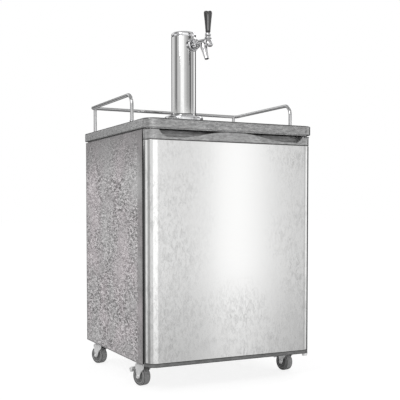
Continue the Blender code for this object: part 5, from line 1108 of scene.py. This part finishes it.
# Brightness of the panels that metal sees low down and above, by degrees from the front towards +X
LOW_PANELS = [
    (-180, 0.08), (-131, 0.09), (-121, 0.58), (-112, 0.76), (-98, 0.70), (-88, 0.36), (-68, 0.34),
    (-60, 0.66), (-36, 0.66), (-28, 1.0), (12, 1.0), (18, 0.84), (22.5, 0.74), (25, 0.64),
    (26.6, 0.68), (28.2, 0.94), (30, 0.96), (32, 0.66), (34.5, 0.56), (42, 0.50), (54, 0.52),
    (64, 0.84), (84, 0.84), (92, 0.20), (100, 0.05),
]
HIGH_PANELS = [
    (-180, 0.04), (-164, 0.04), (-159, 0.74), (-148, 0.74), (-138, 0.55), (-122, 0.50), (-110, 0.22),
    (-92, 0.15), (-84, 0.50), (-58, 0.54), (-50, 0.92), (-26, 0.92), (-18, 0.60), (2, 0.42),
    (8, 0.34), (30, 0.32), (36, 0.08), (45, 0.08), (50, 0.44), (62, 0.36), (68, 0.26),
    (80, 0.26), (87, 0.92), (102, 0.92), (110, 0.05),
]
PANEL_LIGHT = 1.25
PLAIN_LIGHT = 0.80
FLOOR_GLOW = 1.14
GLOW_SHARE = 0.72

SENSOR = 36.0
PHOTO_SIZE = 400.0
FOCAL_PIXELS = 772.4
SHIFT_PIXELS = 42.65
CAMERA_PLACE = (-1.1992, -2.4615, 0.5584)
CAMERA_PITCH = math.radians(90 - 2.387)
CAMERA_TURN = math.radians(26.43)
LAMP_TARGET = Vector((0.0, 0.0, 0.6))


def make_floor():
    """A pale floor that the camera sees as white and that keeps the shadow. Metal sees the room below it."""
    bpy.ops.mesh.primitive_plane_add(size=60.0, location=(0.0, 0.0, 0.0))
    floor = bpy.context.object
    floor.name = "floor"
    floor.visible_glossy = False
    ground = Finish("floor_white", grey(0.90), 0.9)
    seen = ground.node("ShaderNodeLightPath", output="Is Camera Ray")
    glow = ground.node("ShaderNodeEmission", {"Color": (1.0, 1.0, 1.0, 1.0), "Strength": FLOOR_GLOW})
    shade = Wire(ground, ground.shader.outputs[0])
    blend = ground.node("ShaderNodeMixShader", {0: seen * GLOW_SHARE, 1: shade, 2: glow})
    ground.feed(ground.tree.nodes["Material Output"].inputs["Surface"], blend)
    floor.data.materials.append(ground.material)


def make_sky():
    """White to the camera, tall pale and dark panels to metal, one plain level to the rest."""
    world = bpy.data.worlds.new("studio")
    bpy.context.scene.world = world
    world.use_nodes = True
    sky = Nodes(world.node_tree)
    east, north, up = sky.split(sky.node("ShaderNodeTexCoord", output="Generated"))
    azimuth = sky.maths("ARCTAN2", east, north * -1.0) * (1.0 / FULL_TURN) + 0.5
    ramps = ([(turn / 360 + 0.5, shade) for turn, shade in row] for row in (LOW_PANELS, HIGH_PANELS))
    low, high = (sky.node("ShaderNodeValToRGB", {"Fac": azimuth}, stops=stops) for stops in ramps)
    front = north.between(0.15, -0.35)
    rear_left = azimuth.between(0.13, 0.10)
    low = low * (1.0 - up.between(-0.07, -0.19) * 0.30)
    level = low + (0.52 - low) * rear_left * up.between(0.075, 0.090)
    for layer, start, end in (
        (high, 0.120, 0.126),
        (front * 0.45 + rear_left * 0.65 + 0.10, 0.26, 0.40),
        (front * 0.46 + rear_left * 0.50 + 0.10, -0.21, -0.35),
        (0.36, 0.55, 0.80),
    ):
        level = level + (layer - level) * up.between(start, end)
    gloss = sky.node("ShaderNodeLightPath", output="Is Glossy Ray")
    seen = sky.node("ShaderNodeLightPath", output="Is Camera Ray")
    seen = seen.larger(sky.node("ShaderNodeLightPath", output="Is Transmission Ray"))
    level = (level * PANEL_LIGHT - PLAIN_LIGHT) * gloss + PLAIN_LIGHT
    level = level + (1.0 - level) * seen
    background = sky.tree.nodes["Background"].inputs
    sky.feed(background["Color"], (1.0, 1.0, 1.0, 1.0))
    sky.feed(background["Strength"], level)


def make_lamp(name, place, size, power):
    light = bpy.data.lights.new(name, "AREA")
    light.shape = "RECTANGLE"
    light.size, light.size_y = size
    light.energy = power
    obj = linked(name, light)
    obj.location = place
    obj.rotation_euler = (LAMP_TARGET - Vector(place)).to_track_quat("-Z", "Y").to_euler()


def make_camera():
    camera = bpy.data.cameras.new("camera")
    camera.sensor_width = SENSOR
    camera.lens = SENSOR * FOCAL_PIXELS / PHOTO_SIZE
    camera.shift_y = SHIFT_PIXELS / PHOTO_SIZE
    camera.clip_end = 200.0
    obj = linked("camera", camera)
    obj.location = CAMERA_PLACE
    obj.rotation_euler = (CAMERA_PITCH, 0.0, -CAMERA_TURN)
    bpy.context.scene.camera = obj


make_floor()
make_sky()
make_lamp("key", (-2.5, -1.5, 2.4), (0.9, 1.4), 24.0)
make_lamp("fill", (2.4, 1.1, 2.4), (1.4, 1.4), 12.0)
make_camera()
bpy.context.scene.view_settings.view_transform = "Standard"
